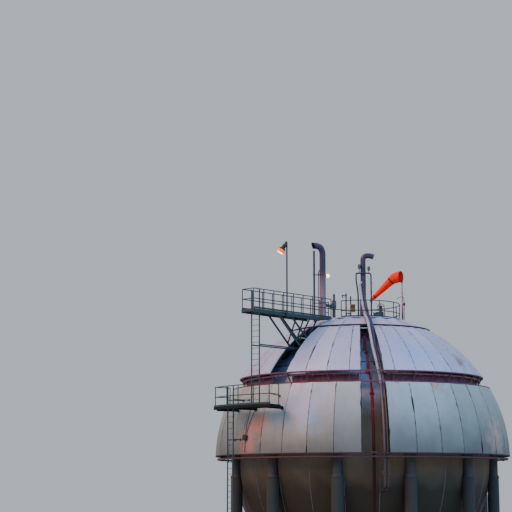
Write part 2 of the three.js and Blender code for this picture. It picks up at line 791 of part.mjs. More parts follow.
// Vents on the crown. Each is a pipe that ends in a turned-down or turned-out
// mouth.

const STACK_AT = new THREE.Vector3(-2070, -1490, 0);
const STACK_R = 175;

function atHeight(place, height, dx = 0, dy = 0) {
  return new THREE.Vector3(place.x + dx, place.y + dy, CENTRE_Z + height);
}

function stackPipe(extra = 0) {
  return tube(atHeight(STACK_AT, 7500), atHeight(STACK_AT, 11450), STACK_R + extra, 10);
}

function buildStack() {
  const bend = [
    atHeight(STACK_AT, 11300),
    atHeight(STACK_AT, 11560),
    atHeight(STACK_AT, 11800, -80, -50),
    atHeight(STACK_AT, 11920, -260, -155),
    atHeight(STACK_AT, 11930, -530, -315),
  ];
  const rodAt = new THREE.Vector3(-2545, -1600, 0);
  const solids = [stackPipe(), pipe(bend, STACK_R, 8, 10)];
  solids.push(tube(atHeight(STACK_AT, 7900), atHeight(STACK_AT, 7960), 230, 10));
  solids.push(tube(atHeight(rodAt, 7300), atHeight(rodAt, 11680), 55, 8));
  for (const height of [8700, 10300]) {
    solids.push(bar(atHeight(STACK_AT, height), atHeight(rodAt, height), 50, 50));
  }
  addPiece("vent_stack", join(solids).subtract(crownBlock), greyPipe);
}

function buildCentreVent() {
  const bend = [
    atHeight(CENTRE_VENT_AT, 10900),
    atHeight(CENTRE_VENT_AT, 11130),
    atHeight(CENTRE_VENT_AT, 11340, 120),
    atHeight(CENTRE_VENT_AT, 11390, 330),
    atHeight(CENTRE_VENT_AT, 11320, 610),
  ];
  const solids = [ventPipe(), pipe(bend, VENT_R, 8, 10)];
  solids.push(tube(atHeight(CENTRE_VENT_AT, 7860), atHeight(CENTRE_VENT_AT, 7920), 230, 10));
  addPiece("centre_vent", join(solids), greyPipe);
}

// Two floodlights stand on a crossbar clamped to the front of the centre vent.
// A conduit goes down to the crown from each end of the bar.
function buildFloodlights() {
  const front = -VENT_R - 45;
  const height = 10380;
  const conduit = 40;
  const onVent = (z, dx, dy = front) => atHeight(CENTRE_VENT_AT, z, dx, dy);
  const solids = [
    bar(onVent(height, -410), onVent(height, 460), 60),
    bar(onVent(height, 0), onVent(height, 0, 0), 120, 60),
    tube(onVent(CROWN_TOP, 440), onVent(height, 440), conduit, 8),
    bar(onVent(8720, 440), onVent(8940, 440), 150, 130, outward(0)),
  ];
  const left = [
    onVent(height, -395),
    onVent(9950, -395),
    onVent(9350, -305, front + 60),
    onVent(9000, -290, front + 140),
    onVent(8350, -290, front + 140),
  ];
  solids.push(pipe(left, conduit, 10, 6));
  solids.push(tube(onVent(CROWN_TOP, -290, front + 140), onVent(8400, -290, front + 140), conduit, 8));
  for (const [dx, middle] of [[-215, 380], [320, 260]]) {
    solids.push(tube(onVent(height, dx), onVent(height + middle, dx), 22, 6));
    const lamp = new THREE.BoxGeometry(170, 150, 290);
    lamp.rotateX(radians(-12));
    const at = onVent(height + middle, dx);
    lamp.translate(at.x, at.y, at.z);
    solids.push(toSolid(lamp));
  }
  addPiece("floodlight_bar", join(solids).subtract(ventPipe(SEAT)), valvePaint);
}

// The lamp post on the bridge's near side, with a bell lamp that leans out from
// its top.
function buildLampPost() {
  const r = 6710;
  const side = BRIDGE_HALF + 65;
  const low = BRIDGE_FLOOR - FLOOR_THICK;
  const top = 11540;
  const foot = point(BRIDGE_AZ, r, low - 60, side);
  const solids = [tube(foot, point(BRIDGE_AZ, r, top, side), 42, 8)];
  const seat = BRIDGE_HALF + SEAT;
  solids.push(bar(
    point(BRIDGE_AZ, r, low + 30, seat),
    point(BRIDGE_AZ, r, low + 30, side),
    160,
    60,
  ));
  const head = point(BRIDGE_AZ, r, top, side);
  const housing = head.clone().add(new THREE.Vector3(-60, 0, -60));
  const neck = head.clone().add(new THREE.Vector3(-185, 0, -250));
  const rim = head.clone().add(new THREE.Vector3(-365, 0, -545));
  solids.push(tube(housing, neck, 110, 12));
  solids.push(tube(neck, rim, 110, 12, 235));
  addPiece("lamp_post", join(solids), palePipe);
}

// Valves and gauges on the crown

function buildReliefValve() {
  const at = new THREE.Vector3(-1450, -1000, 0);
  const solids = [
    tube(atHeight(at, CROWN_TOP), atHeight(at, 8500), 80, 8),
    tube(atHeight(at, CROWN_TOP), atHeight(at, CROWN_TOP + 40), 150, 8),
    tube(atHeight(at, 8460), atHeight(at, 8880), 130, 8),
    tube(atHeight(at, 8870), atHeight(at, 9300), 65, 8),
    tube(atHeight(at, 8560), atHeight(STACK_AT, 8620), 90, 8),
  ];
  addPiece("relief_valve", join(solids).subtract(stackPipe(SEAT)), valvePaint);
}

function buildGaugeStand() {
  const left = new THREE.Vector3(-780, -700, 0);
  const right = new THREE.Vector3(-520, -700, 0);
  const solids = [
    tube(atHeight(left, CROWN_TOP), atHeight(left, 9350), 45, 8),
    tube(atHeight(right, CROWN_TOP), atHeight(right, 9180), 45, 8),
    bar(atHeight(left, 8200), atHeight(right, 8200), 60, 60),
    bar(atHeight(left, 9220, -230), atHeight(left, 9220, 60), 120, 160),
    bar(atHeight(right, 8290, 110), atHeight(right, 8730, 110), 300, 160, outward(0)),
  ];
  addPiece("gauge_stand", join(solids), valvePaint);
}

function buildCrownValve() {
  const at = new THREE.Vector3(970, -600, 0);
  const wheelAt = new THREE.Vector3(1180, -600, 0);
  const solids = [
    tube(atHeight(at, CROWN_TOP), atHeight(at, 8280), 110, 8),
    tube(atHeight(at, CROWN_TOP), atHeight(at, CROWN_TOP + 40), 190, 8),
    tube(atHeight(at, 8150, -200), atHeight(at, 8150, 360), 90, 8),
    tube(atHeight(wheelAt, 8150), atHeight(wheelAt, 8650), 60, 8),
    tube(atHeight(wheelAt, 8640), atHeight(wheelAt, 8780), 25, 6),
    tube(atHeight(wheelAt, 8550, 0, -20), atHeight(wheelAt, 8550, 0, -190), 50, 8),
    tube(atHeight(wheelAt, 8550, 0, -160), atHeight(wheelAt, 8550, 0, -195), 200, 12),
  ];
  addPiece("crown_valve", join(solids), valvePaint);
}

// Windsock. The mast stands on the crown beside the railing. Its top is a
// shoulder with a pin, and the hoop's sleeve turns on that pin.
const MAST = new THREE.Vector3(MAST_AT, 0, 0);
const PIN_R = 15;
const PIN_HIGH = 120;
const SLEEVE_BORE = 22;
const SLEEVE_R = 42;
function buildMast() {
  const solids = [
    tube(atHeight(MAST, CROWN_TOP), atHeight(MAST, CROWN_TOP + 30), 90, 8),
    tube(atHeight(MAST, CROWN_TOP), atHeight(MAST, 8700), 50, 8),
    tube(atHeight(MAST, 8700 - 10), atHeight(MAST, MAST_TOP), 40, 8),
    tube(atHeight(MAST, MAST_TOP - 10), atHeight(MAST, MAST_TOP + PIN_HIGH), PIN_R, 8),
  ];
  addPiece("windsock_mast", join(solids), mastPaint);
}

// At rest the vane is turned a little from the x axis, with its mouth to the front.
function turnVane(solid) {
  const onAxis = solid.translate([-MAST_AT, 0, 0]);
  return onAxis.rotate([0, 0, VANE_TURN]).translate([MAST_AT, 0, 0]);
}

function buildHoop() {
  const ring = new THREE.TorusGeometry(HOOP_R, HOOP_BAR, 6, 24);
  ring.rotateY(Math.PI / 2);
  ring.translate(MAST_AT - HOOP_OFFSET, 0, CENTRE_Z + HOOP_HEIGHT);
  const bottom = MAST_TOP + SEAT;
  const sleeve = tube(atHeight(MAST, bottom), atHeight(MAST, MAST_TOP + 160), SLEEVE_R, 10);
  const bore = tube(atHeight(MAST, bottom - 5), atHeight(MAST, MAST_TOP + 140), SLEEVE_BORE, 10);
  const hub = atHeight(MAST, HOOP_HEIGHT);
  const solids = [
    toSolid(ring),
    sleeve.subtract(bore),
    tube(atHeight(MAST, MAST_TOP + 150), atHeight(MAST, HOOP_HEIGHT + 15), 18, 6),
  ];
  for (const side of [-HOOP_R, HOOP_R]) {
    solids.push(bar(hub, atHeight(MAST, HOOP_HEIGHT, -HOOP_OFFSET, side), 24));
  }
  addPiece("windsock_hoop", turnVane(join(solids)), valvePaint);
}

// The cloth is a tapered tube, open at both ends. Its centre line leaves the hoop
// level, bends down and then droops straight, and its sections turn with that line.
function sockDrop(reach) {
  const { bend, slope, power } = SOCK_DROOP;
  if (reach <= bend) {
    const drop = (slope * bend * (reach / bend) ** (power + 1)) / (power + 1);
    return { drop, tilt: Math.atan(slope * (reach / bend) ** power) };
  }
  return { drop: (slope * bend) / (power + 1) + slope * (reach - bend), tilt: Math.atan(slope) };
}

function buildSock() {
  const outer = [
    [HOOP_R, 0],
    [322, 220],
    [305, 430],
    [247, 585],
    [224, 770],
    [113, SOCK_REACH],
  ];
  const inner = outer.map(([r, y]) => [r - SOCK_WALL, y]).reverse();
  const points = [...outer, ...inner, outer[0]].map(([r, y]) => new THREE.Vector2(r, y));
  const geometry = new THREE.LatheGeometry(points, 16);
  geometry.rotateZ(Math.PI / 2);
  const mouth = MAST_AT - HOOP_OFFSET - HOOP_BAR - SEAT;
  const vertices = geometry.attributes.position;
  for (let i = 0; i < vertices.count; i += 1) {
    const reach = Math.max(0, -vertices.getX(i));
    const rise = vertices.getZ(i);
    const { drop, tilt } = sockDrop(reach);
    vertices.setX(i, mouth - reach - rise * Math.sin(tilt));
    vertices.setZ(i, CENTRE_Z + HOOP_HEIGHT - drop + rise * Math.cos(tilt));
  }
  addPiece("windsock", turnVane(toSolid(geometry)), orangeCloth);
}

buildShell();
buildBottomNozzle();
buildColumns();
buildSwayRods();
buildCladding();
buildLowerLedger();
buildMidFrame();
buildCrownRing();
buildDelugePipes();
buildRiser();
buildVentLines();
buildCrownRailing();
buildLanding();
buildLandingRailing();
buildLowerLadder();
buildUpperLadder();
buildBridge();
buildBridgeRailing();
buildStack();
buildCentreVent();
buildFloodlights();
buildLampPost();
buildReliefValve();
buildGaugeStand();
buildCrownValve();
buildMast();
buildHoop();
buildSock();

export default tank;
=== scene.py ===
# The spherical gas tank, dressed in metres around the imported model.
# Azimuth 0 faces -Y and grows towards +X; heights are from the sphere's centre.
import math

import bmesh
import bpy
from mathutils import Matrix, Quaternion, Vector, noise


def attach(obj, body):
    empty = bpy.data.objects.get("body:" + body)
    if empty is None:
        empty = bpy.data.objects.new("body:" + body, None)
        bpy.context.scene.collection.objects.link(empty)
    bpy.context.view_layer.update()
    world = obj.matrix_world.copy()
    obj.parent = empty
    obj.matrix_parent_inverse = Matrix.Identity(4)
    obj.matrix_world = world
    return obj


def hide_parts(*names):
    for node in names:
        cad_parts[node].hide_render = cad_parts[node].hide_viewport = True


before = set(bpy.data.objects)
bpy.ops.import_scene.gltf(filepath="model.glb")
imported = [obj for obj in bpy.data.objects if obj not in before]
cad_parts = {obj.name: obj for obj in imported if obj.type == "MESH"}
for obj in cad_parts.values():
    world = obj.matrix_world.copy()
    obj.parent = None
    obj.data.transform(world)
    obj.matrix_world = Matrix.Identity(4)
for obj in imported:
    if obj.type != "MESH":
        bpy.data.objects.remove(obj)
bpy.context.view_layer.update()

# Camera, floor and light. The view is from 80 m away and slightly below the
# sphere's middle, turned so that the tank stands right of the picture's centre.
CAMERA_AT = (0.0, -80.0, 7.87)
CAMERA_UP = 9.42
CAMERA_LEFT = 4.245
LENS = 99.2
SENSOR = 36
FLOOR_HALF = 420.0
CORNERS = ((-1, -1), (1, -1), (1, 1), (-1, 1))


def new_object(name, data):
    made = bpy.data.objects.new(name, data)
    bpy.context.scene.collection.objects.link(made)
    return made


def linear(hex_code):
    """A colour given as sRGB hex, as the linear values that a shader takes."""
    shares = [int(hex_code[i:i + 2], 16) / 255 for i in (0, 2, 4)]
    return tuple(s / 12.92 if s <= 0.04045 else ((s + 0.055) / 1.055) ** 2.4 for s in shares) + (1.0,)


def plug(node, inputs):
    """Sets a node's inputs: each is a value, a socket, or a node that gives its first output."""
    for name, value in inputs.items():
        if isinstance(value, bpy.types.Node):
            value = value.outputs[0]
        if isinstance(value, bpy.types.NodeSocket):
            node.id_data.links.new(value, node.inputs[name])
        else:
            node.inputs[name].default_value = value


def add(tree, kind, inputs=None, **settings):
    """One shader node, with its settings and its inputs."""
    node = tree.nodes.new("ShaderNode" + kind)
    for name, value in settings.items():
        setattr(node, name, value)
    plug(node, inputs or {})
    return node


def new_material(name):
    """An empty node material, with its tree, its shader and the place on the object."""
    material = bpy.data.materials.new(name)
    material.use_nodes = True
    tree = material.node_tree
    tree.nodes.clear()
    shader = add(tree, "BsdfPrincipled")
    add(tree, "OutputMaterial", {"Surface": shader})
    return material, tree, shader, add(tree, "TexCoord").outputs["Object"]


def sun(name, hex_code, strength, spread, azimuth, elevation):
    """A soft studio light from one side."""
    lamp = bpy.data.lights.new(name, "SUN")
    lamp.color = linear(hex_code)[:3]
    lamp.energy = strength
    lamp.angle = math.radians(spread)
    new_object(name, lamp).rotation_euler = (math.radians(90 - elevation), 0, math.radians(azimuth))


camera = new_object("camera", bpy.data.cameras.new("camera"))
camera.location = CAMERA_AT
camera.rotation_euler = (math.radians(90 + CAMERA_UP), 0, math.radians(CAMERA_LEFT))
camera.data.lens = LENS
camera.data.sensor_width = SENSOR
camera.data.clip_end = 2000
bpy.context.scene.camera = camera
sun("key_light", "ffb8ae", 3.3, 35, -56, 36)
sun("side_light", "7cb4ff", 2.6, 50, 48, 36)
world = bpy.data.worlds.new("studio")
world.use_nodes = True
plug(world.node_tree.nodes["Background"], {"Color": linear("d9e0ea"), "Strength": 0.75})
bpy.context.scene.world = world

floor_mesh = bpy.data.meshes.new("studio_floor")
floor_mesh.from_pydata([(x * FLOOR_HALF, y * FLOOR_HALF, 0) for x, y in CORNERS], [], [(0, 1, 2, 3)])
studio_floor = new_object("studio_floor", floor_mesh)
floor_finish, _, shader, _ = new_material("pale studio floor")
plug(shader, {"Base Color": linear("c9c9c8"), "Roughness": 0.9})
floor_mesh.materials.append(floor_finish)

# Shell. Rolled steel plates, butt welded into a sphere 14.24 m across and
# painted grey. It is drawn pale blue high in the open bay (painted sky light), brown
# lower down, and near black under the cladding (painted shade).
CENTRE_Z = 9.5
MIDDLE = Vector((0, 0, CENTRE_Z))
UP = Vector((0, 0, 1))
SHELL_R = 7.12
PLATE = 0.04
SHELL_SPLITS = (5, 125, 245, 365)
SEAM_HEIGHT = 5.1
SEAM_LATITUDE = math.degrees(math.asin(SEAM_HEIGHT / SHELL_R))
POLE = 89.9


def outward(azimuth):
    a = math.radians(azimuth)
    return Vector((math.sin(a), -math.cos(a), 0))


def sideways(azimuth):
    a = math.radians(azimuth)
    return Vector((math.cos(a), math.sin(a), 0))


def at(azimuth, radius, height, side=0.0):
    """A point by its radius from the axis, its height and its offset along the tangent."""
    return MIDDLE + outward(azimuth) * radius + sideways(azimuth) * side + UP * height


def on_sphere(azimuth, latitude, radius, side=0.0):
    a = math.radians(latitude)
    return at(azimuth, radius * math.cos(a), radius * math.sin(a), side)


def radius_at(height, sphere):
    """How far a sphere's skin is from the axis at a height."""
    return math.sqrt(sphere ** 2 - height ** 2)


def steps(low, high, count):
    """count + 1 values from low to high."""
    return [low + (high - low) * i / count for i in range(count + 1)]


def whole_turn(count):
    return steps(0, 360, count)[:-1]


def circle(count, shift=0.0):
    """Cosine and sine of each of count angles round a circle."""
    angles = (2 * math.pi * (i + shift) / count for i in range(count))
    return [(math.cos(a), math.sin(a)) for a in angles]


def loft(part, rings, loop=False):
    """Joins closed rings of points into a skin, with flat ends unless it loops."""
    rows = [[part.verts.new(p) for p in ring] for ring in rings]
    for low, high in zip(rows, rows[1:] + rows[:1] if loop else rows[1:]):
        for j in range(len(low)):
            k = (j + 1) % len(low)
            part.faces.new((low[j], low[k], high[k], high[j]))
    if not loop:
        part.faces.new(rows[0][::-1])
        part.faces.new(rows[-1])


def piece(name, part, material, nodes=(), body="tank", smooth=38):
    """Turns a mesh into a finished piece that rides on a body of the frame."""
    bmesh.ops.recalc_face_normals(part, faces=part.faces)
    mesh = bpy.data.meshes.new(name)
    part.to_mesh(mesh)
    part.free()
    mesh.polygons.foreach_set("use_smooth", [True] * len(mesh.polygons))
    mesh.set_sharp_from_angle(angle=math.radians(smooth))
    mesh.materials.append(material)
    made = new_object(name, mesh)
    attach(made, body)
    if nodes:
        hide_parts(*nodes)
    return made


def frames(points, loop=False):
    """The two directions across a path at each of its points, carried without twist."""
    count = len(points)
    across = None
    found = []
    for i, p in enumerate(points):
        before = points[i - 1] if i or loop else p
        after = points[(i + 1) % count] if i < count - 1 or loop else p
        along = (after - before).normalized()
        if across is None:
            across = along.cross(UP) if abs(along.z) < 0.99 else along.orthogonal()
        across = (across - along * across.dot(along)).normalized()
        found.append((across, along.cross(across)))
    return found


def sweep(part, points, radius, sides=12, loop=False):
    """A round bar or pipe along a path. The radius may differ from point to point."""
    radii = radius if isinstance(radius, list) else [radius] * len(points)
    loft(part, [
        [p + (u * c + v * s) * r for c, s in circle(sides)]
        for p, r, (u, v) in zip(points, radii, frames(points, loop))], loop)


def plate_patch(part, azimuths, profile, loop=False):
    """A closed profile of (radius, height) pairs carried round the axis."""
    loft(part, [[at(a, r, h) for r, h in profile] for a in azimuths], loop)


def curved_profile(radius, wall, latitudes):
    """A curved plate's cross-section: up its outer face and down its inner one."""
    ways = [(math.cos(math.radians(a)), math.sin(math.radians(a))) for a in latitudes]
    inner = radius - wall
    return [(radius * c, radius * s) for c, s in ways] + [(inner * c, inner * s) for c, s in ways[::-1]]


def clouded(tree, place, one, other, scale, detail, roughness=0.5):
    """Noise in clouds, and two colours mixed by it."""
    clouds = add(tree, "TexNoise", {
        "Vector": place, "Scale": scale, "Detail": detail, "Roughness": roughness})
    return clouds, add(tree, "MixRGB", {"Fac": clouds, "Color1": linear(one), "Color2": linear(other)})


def rained_on(tree, place, under, grime, stretch, detail, first, full, amount):
    """Grime drawn down over a colour in runs. The stretch makes the noise tall."""
    tall = add(tree, "Mapping", {"Vector": place, "Scale": stretch})
    drawn = add(tree, "TexNoise", {"Vector": tall, "Scale": 1.0, "Detail": detail})
    wet = add(tree, "MapRange", {"Value": drawn, "From Min": first, "From Max": full, "To Max": amount})
    return add(tree, "MixRGB", {"Fac": wet, "Color1": under, "Color2": linear(grime)})


def painted_steel(name, paint, faded, grime, rust, rusting=0.3, runs=1.0, rough=0.5, metal=0.0,
                  bump=0.002):
    """Paint brushed on steel outdoors: it fades in clouds, rain draws grime down it
    in runs, and rust breaks through in spots and small scabs."""
    material, tree, shader, place = new_material(name)
    _, tone = clouded(tree, place, paint, faded, 1.1, 5, 0.6)
    run = rained_on(tree, place, tone, grime, (7.0, 7.0, 0.45), 4, 0.5, 0.75, 0.75 * runs)
    scabs = add(tree, "TexNoise", {"Vector": place, "Scale": 5.5, "Detail": 8, "Roughness": 0.68})
    broken = add(tree, "MapRange", {
        "Value": scabs, "From Min": 0.68 - 0.3 * rusting, "From Max": 0.74 - 0.3 * rusting})
    worn = add(tree, "MixRGB", {"Fac": broken, "Color1": run, "Color2": linear(rust)})
    dull = add(tree, "MapRange", {"Value": broken, "To Min": rough, "To Max": min(rough + 0.35, 0.95)})
    relief = add(tree, "Bump", {"Height": scabs, "Distance": bump, "Strength": 0.6})
    plug(shader, {"Base Color": worn, "Roughness": dull, "Metallic": metal, "Normal": relief})
    return material


def shader_of(material):
    return next(n for n in material.node_tree.nodes if n.type == "BSDF_PRINCIPLED")


def stain_and_light(material, hex_code, first, full, amount, middle=None, scale=0.8, ragged=1.6):
    """Lays a ragged patch of colour over a finish, for stains and for painted light and
    shade. It grows from a first measure to a full one: the height above ground, or the
    distance from a middle."""
    tree, shader = material.node_tree, shader_of(material)
    place = add(tree, "TexCoord").outputs["Object"]
    measure = add(tree, "SeparateXYZ", {"Vector": place}).outputs["Z"]
    if middle:
        measure = add(tree, "VectorMath", {0: place, 1: middle}, operation="DISTANCE").outputs["Value"]
    cloud = add(tree, "TexNoise", {"Vector": place, "Scale": scale, "Detail": 6})
    wavy = add(tree, "Math", {0: cloud, 1: ragged, 2: measure}, operation="MULTIPLY_ADD")
    share = add(tree, "MapRange", {"Value": wavy, "From Min": first, "From Max": full, "To Max": amount})
    under = shader.inputs["Base Color"].links[0].from_socket
    laid = add(tree, "MixRGB", {"Fac": share, "Color1": under, "Color2": linear(hex_code)})
    plug(shader, {"Base Color": laid})


def stain_and_shade_by_height(material, hex_code, low, high, amount):
    """Colour between two heights from the sphere's centre, ragged by 0.8 m each way, for
    stains and for painted shade.
    """
    stain_and_light(material, hex_code, CENTRE_Z + low + 0.8, CENTRE_Z + high + 0.8, amount)


def stain_and_light_near(material, hex_code, azimuth, radius, height, reach, amount):
    """A patch of colour round one point, for stains and for painted light and shade."""
    middle = at(azimuth, radius, height)
    stain_and_light(material, hex_code, 1.6 * reach, 0.8 * reach, amount, middle, 2.2, 1.5 * reach)


def chalked(material):
    """Takes most of the gloss off a finish whose binder has weathered away."""
    plug(shader_of(material), {"Specular IOR Level": 0.15})


# The pale blue paint is painted sky light, lighter than grey to make up for the cladding's shade.
shell_paint = painted_steel(
    "alkyd grey paint on shell plate", "9fb8d8", "90a9c8", "77746e", "5d4a3c",
    rusting=0.12, runs=0.8, rough=0.6)
# Drawn brown from about 5 m above the middle downwards.
stain_and_shade_by_height(shell_paint, "685e3a", 5.0, 2.2, 0.93)
# Painted shade: near black from about the cladding's lower edge downwards.
stain_and_shade_by_height(shell_paint, "1b2118", 1.2, -1.6, 0.92)
chalked(shell_paint)

for zone, low, high in (("upper", 0, SEAM_LATITUDE), ("lower", -SEAM_LATITUDE, 0)):
    for i, (start, end) in enumerate(zip(SHELL_SPLITS, SHELL_SPLITS[1:])):
        part = bmesh.new()
        plate_patch(part, steps(start, end, 48), curved_profile(SHELL_R, PLATE, steps(low, high, 16)))
        node = f"shell_{zone}_petal_{i + 1}"
        piece(f"{node}_plate", part, shell_paint, [node])
for node, low, high in (
        ("shell_top_head", SEAM_LATITUDE, POLE), ("shell_bottom_head", -POLE, -SEAM_LATITUDE)):
    part = bmesh.new()
    plate_patch(part, whole_turn(96), curved_profile(SHELL_R, PLATE, steps(low, high, 18)), loop=True)
    piece(f"{node}_plate", part, shell_paint, [node])

# Weld seams. Ground beads between the plates: 24 up each zone, 12 up each head, and
# one round the sphere at the middle and at each head, the upper one caked with dirt.
WELD_R = 0.016
part = bmesh.new()
for count, shift, low, high, parts in (
        (24, 0, 0.4, SEAM_LATITUDE, 14), (24, 7.5, -SEAM_LATITUDE, -0.4, 14),
        (12, 15, SEAM_LATITUDE, 80, 10), (12, 15, -80, -SEAM_LATITUDE, 10)):
    for azimuth in whole_turn(count):
        sweep(part, [on_sphere(azimuth + shift, a, SHELL_R) for a in steps(low, high, parts)], WELD_R, 6)
for height, thick in ((0, 1), (-SEAM_HEIGHT, 1.2), (SEAM_HEIGHT, 2.2)):
    seam = [at(a, radius_at(height, SHELL_R), height) for a in whole_turn(120)]
    sweep(part, seam, WELD_R * thick, 6, loop=True)
weld_steel = painted_steel(
    "grey paint over ground weld", "5d6266", "50555a", "3c3a38", "54392a",
    rusting=0.5, rough=0.7, bump=0.004)
piece("shell_weld_seams", part, weld_steel)

# Bottom nozzle. A short steel neck under the sphere, closed by a blind flange
# that is bolted to the neck's own.
NOZZLE_R = 0.16
NOZZLE_FLANGE_R = 0.27
NOZZLE_LOW = -7.6


def around(axis, count, shift=0.0):
    """Directions spread evenly round an axis."""
    u = axis.orthogonal().normalized()
    v = axis.cross(u)
    return [u * c + v * s for c, s in circle(count, shift)]


def turned(part, base, profile, sides=32, axis=UP):
    """A turned shape on an axis, from (distance along it, radius) pairs."""
    axis = axis.normalized()
    loft(part, [[base + axis * d + way * r for way in around(axis, sides)] for d, r in profile])


def disc(part, base, radius, thick, sides=20, axis=UP):
    turned(part, base, [(0, radius), (thick, radius)], sides, axis)


def bolt_circle(part, centre, radius, count, size, length, axis=UP):
    """Hexagon bolt heads and nuts through a flange, both ends showing."""
    axis = axis.normalized()
    for way in around(axis, count, 0.5):
        for thick, long in ((size, length), (size * 0.5, length * 1.2)):
            disc(part, centre + way * radius - axis * long / 2, thick, long, 6, axis)


def flange(part, centre, bore, radius, thick, bolts, axis=UP):
    """A flange pair with a gasket line between and bolts through both."""
    lip, gasket = thick * 0.08, radius * 0.82
    turned(part, centre - axis.normalized() * thick / 2, [
        (0, bore), (0, radius - lip), (lip, radius), (thick * 0.46, radius), (thick * 0.47, gasket),
        (thick * 0.53, gasket), (thick * 0.54, radius), (thick - lip, radius), (thick, radius - lip),
        (thick, bore)], axis=axis)
    bolt_circle(part, centre, (radius + bore) / 2, bolts, (radius - bore) * 0.22, thick * 1.35, axis)


part = bmesh.new()
turned(part, at(0, 0, NOZZLE_LOW), [(0.03, NOZZLE_R), (0.62, NOZZLE_R)])
flange(part, at(0, 0, NOZZLE_LOW + 0.055), NOZZLE_R, NOZZLE_FLANGE_R, 0.11, 12)
disc(part, at(0, 0, NOZZLE_LOW), NOZZLE_R, 0.05, 32)
piece("bottom_nozzle_neck", part, shell_paint, ["bottom_nozzle"])

# Columns. Twelve steel tubes cased in fireproofing mortar, which is trowelled on
# mesh and painted. A sheet cap sheds the rain, and each base plate is bolted down.
COLUMN_AZ = [20 + 30 * i for i in range(12)]
COLUMN_AXIS_R = 7.24
COLUMN_R = 0.32
CAP_R = COLUMN_R + 0.02
TUBE_R = 0.275
COLUMN_TOP = 0.55
CASING_TOP = -0.9
BASE_HALF = 0.5
BASE_THICK = 0.04
BOLT_OUT = 0.4
GROUND = -CENTRE_Z


def bar(part, start, end, width, depth, reference=UP):
    """A flat bar between two points: depth is measured nearest to the reference."""
    along = (end - start).normalized()
    across = reference.cross(along).normalized() * width / 2
    deep = along.cross(across.normalized()) * depth / 2
    loft(part, [[p + across * i + deep * j for i, j in CORNERS] for p in (start, end)])


def plate(part, corners, thickness):
    """A flat plate: its corners, and its thickness as a vector."""
    loft(part, [[p - thickness / 2 for p in corners], [p + thickness / 2 for p in corners]])


def mortar():
    """Sprayed and trowelled mortar under a greenish grey coat, drawn very dark as painted
    shade: matt, cloudy, with trowel waves, fine sand relief and rust drawn down from the steel above."""
    material, tree, shader, place = new_material("trowelled fireproofing mortar")
    _, tone = clouded(tree, place, "1e2b26", "28332b", 1.7, 7, 0.62)
    run = rained_on(tree, place, tone, "272621", (9.0, 9.0, 0.35), 5, 0.52, 0.72, 0.7)
    # Trowel strokes are 300 mm long; sand grains are drawn at 12 mm, coarser than real.
    strokes = add(tree, "TexNoise", {"Vector": place, "Scale": 3.3, "Detail": 2})
    sand = add(tree, "TexNoise", {"Vector": place, "Scale": 80.0, "Detail": 2})
    wave = add(tree, "Bump", {"Height": strokes, "Distance": 0.02, "Strength": 0.5})
    grit = add(tree, "Bump", {"Height": sand, "Distance": 0.003, "Strength": 0.5, "Normal": wave})
    plug(shader, {"Base Color": run, "Roughness": 0.92, "Normal": grit})
    return material


# The mortar and the column steel are drawn very dark: painted shade under the cladding.
fireproofing = mortar()
stain_and_shade_by_height(fireproofing, "2c2a25", 0.9 - CENTRE_Z, -0.6 - CENTRE_Z, 0.7)
column_steel = painted_steel(
    "grey primer on column steel", "242f2c", "1e2925", "201f1d", "3c2f27", rusting=0.3, rough=0.7)


def outside_shell(place, clear=SHELL_R - 0.02):
    """Moves a column's point out of the sphere's hollow, straight away from the axis."""
    height = place.z - CENTRE_Z
    flat = Vector((place.x, place.y))
    if flat.length ** 2 + height ** 2 < clear ** 2:
        flat *= radius_at(height, clear) / flat.length
    return Vector((flat.x, flat.y, place.z))


def column_skin(part, azimuth, profile):
    """A skin round a column's axis, from (height, radius) pairs, clear of the sphere."""
    loft(part, [
        [outside_shell(at(azimuth, COLUMN_AXIS_R, h) + Vector((c, s, 0)) * r) for c, s in circle(40)]
        for h, r in profile])


for i, azimuth in enumerate(COLUMN_AZ):
    node = f"column_{i + 1:02d}"
    part = bmesh.new()
    casing = [(GROUND + BASE_THICK, 0.96 * COLUMN_R), (GROUND + 0.08, COLUMN_R)]
    casing += [(h, COLUMN_R) for h in steps(GROUND + 1.2, CASING_TOP - 0.03, 7)]
    column_skin(part, azimuth, casing + [(CASING_TOP, 0.93 * COLUMN_R)])
    piece(f"{node}_casing", part, fireproofing, [node])
    part = bmesh.new()
    tube = [CASING_TOP - 0.05] + steps(CASING_TOP + 0.05, 0.45, 6) + [COLUMN_TOP - 0.03]
    column_skin(part, azimuth, [(h, TUBE_R) for h in tube] + [(COLUMN_TOP, 0.2)])
    cap = ((-0.07, CAP_R), (-0.02, CAP_R), (0.1, TUBE_R))
    column_skin(part, azimuth, [(CASING_TOP + h, r) for h, r in cap])
    out, side = outward(azimuth), sideways(azimuth)
    middle = at(azimuth, COLUMN_AXIS_R, GROUND + BASE_THICK / 2)
    bar(part, middle - out * BASE_HALF, middle + out * BASE_HALF, 2 * BASE_HALF, BASE_THICK)
    for i_out, i_side in CORNERS:
        foot = middle + (out * i_out + side * i_side) * BOLT_OUT + UP * BASE_THICK / 2
        disc(part, foot, 0.045, 0.04, 6)
        disc(part, foot, 0.022, 0.11, 10)
    for way in (out, -out, side, -side):
        rib = ((0.3, 0.02), (0.48, 0.02), (0.48, 0.06), (0.33, 0.26), (0.3, 0.26))
        plate(part, [middle + way * r + UP * h for r, h in rib], UP.cross(way) * 0.02)
    piece(f"{node}_steel", part, column_steel)

# Sway rods. Two crossed steel rods in each bay, tightened by a turnbuckle in the
# middle, pinned to gussets; a strap round each column joins its gussets.
ROD_R = 0.035
ROD_HEIGHTS = (-3.3, -8.3)
ROD_APART = 0.045
GUSSET_REACH = 0.62
GUSSET_HALF = 0.15
PIN_REACH = 0.5
FORK = 0.32
BUCKLE_HALF = 0.3
BAYS_PER_NODE = 3
STRAP_HALF = 0.08
STRAP_R = COLUMN_R + 0.018
rod_steel = painted_steel(
    "red primer on sway rods", "4a3532", "56403a", "33292a", "5f4030", rusting=0.5, rough=0.75, metal=0.15)


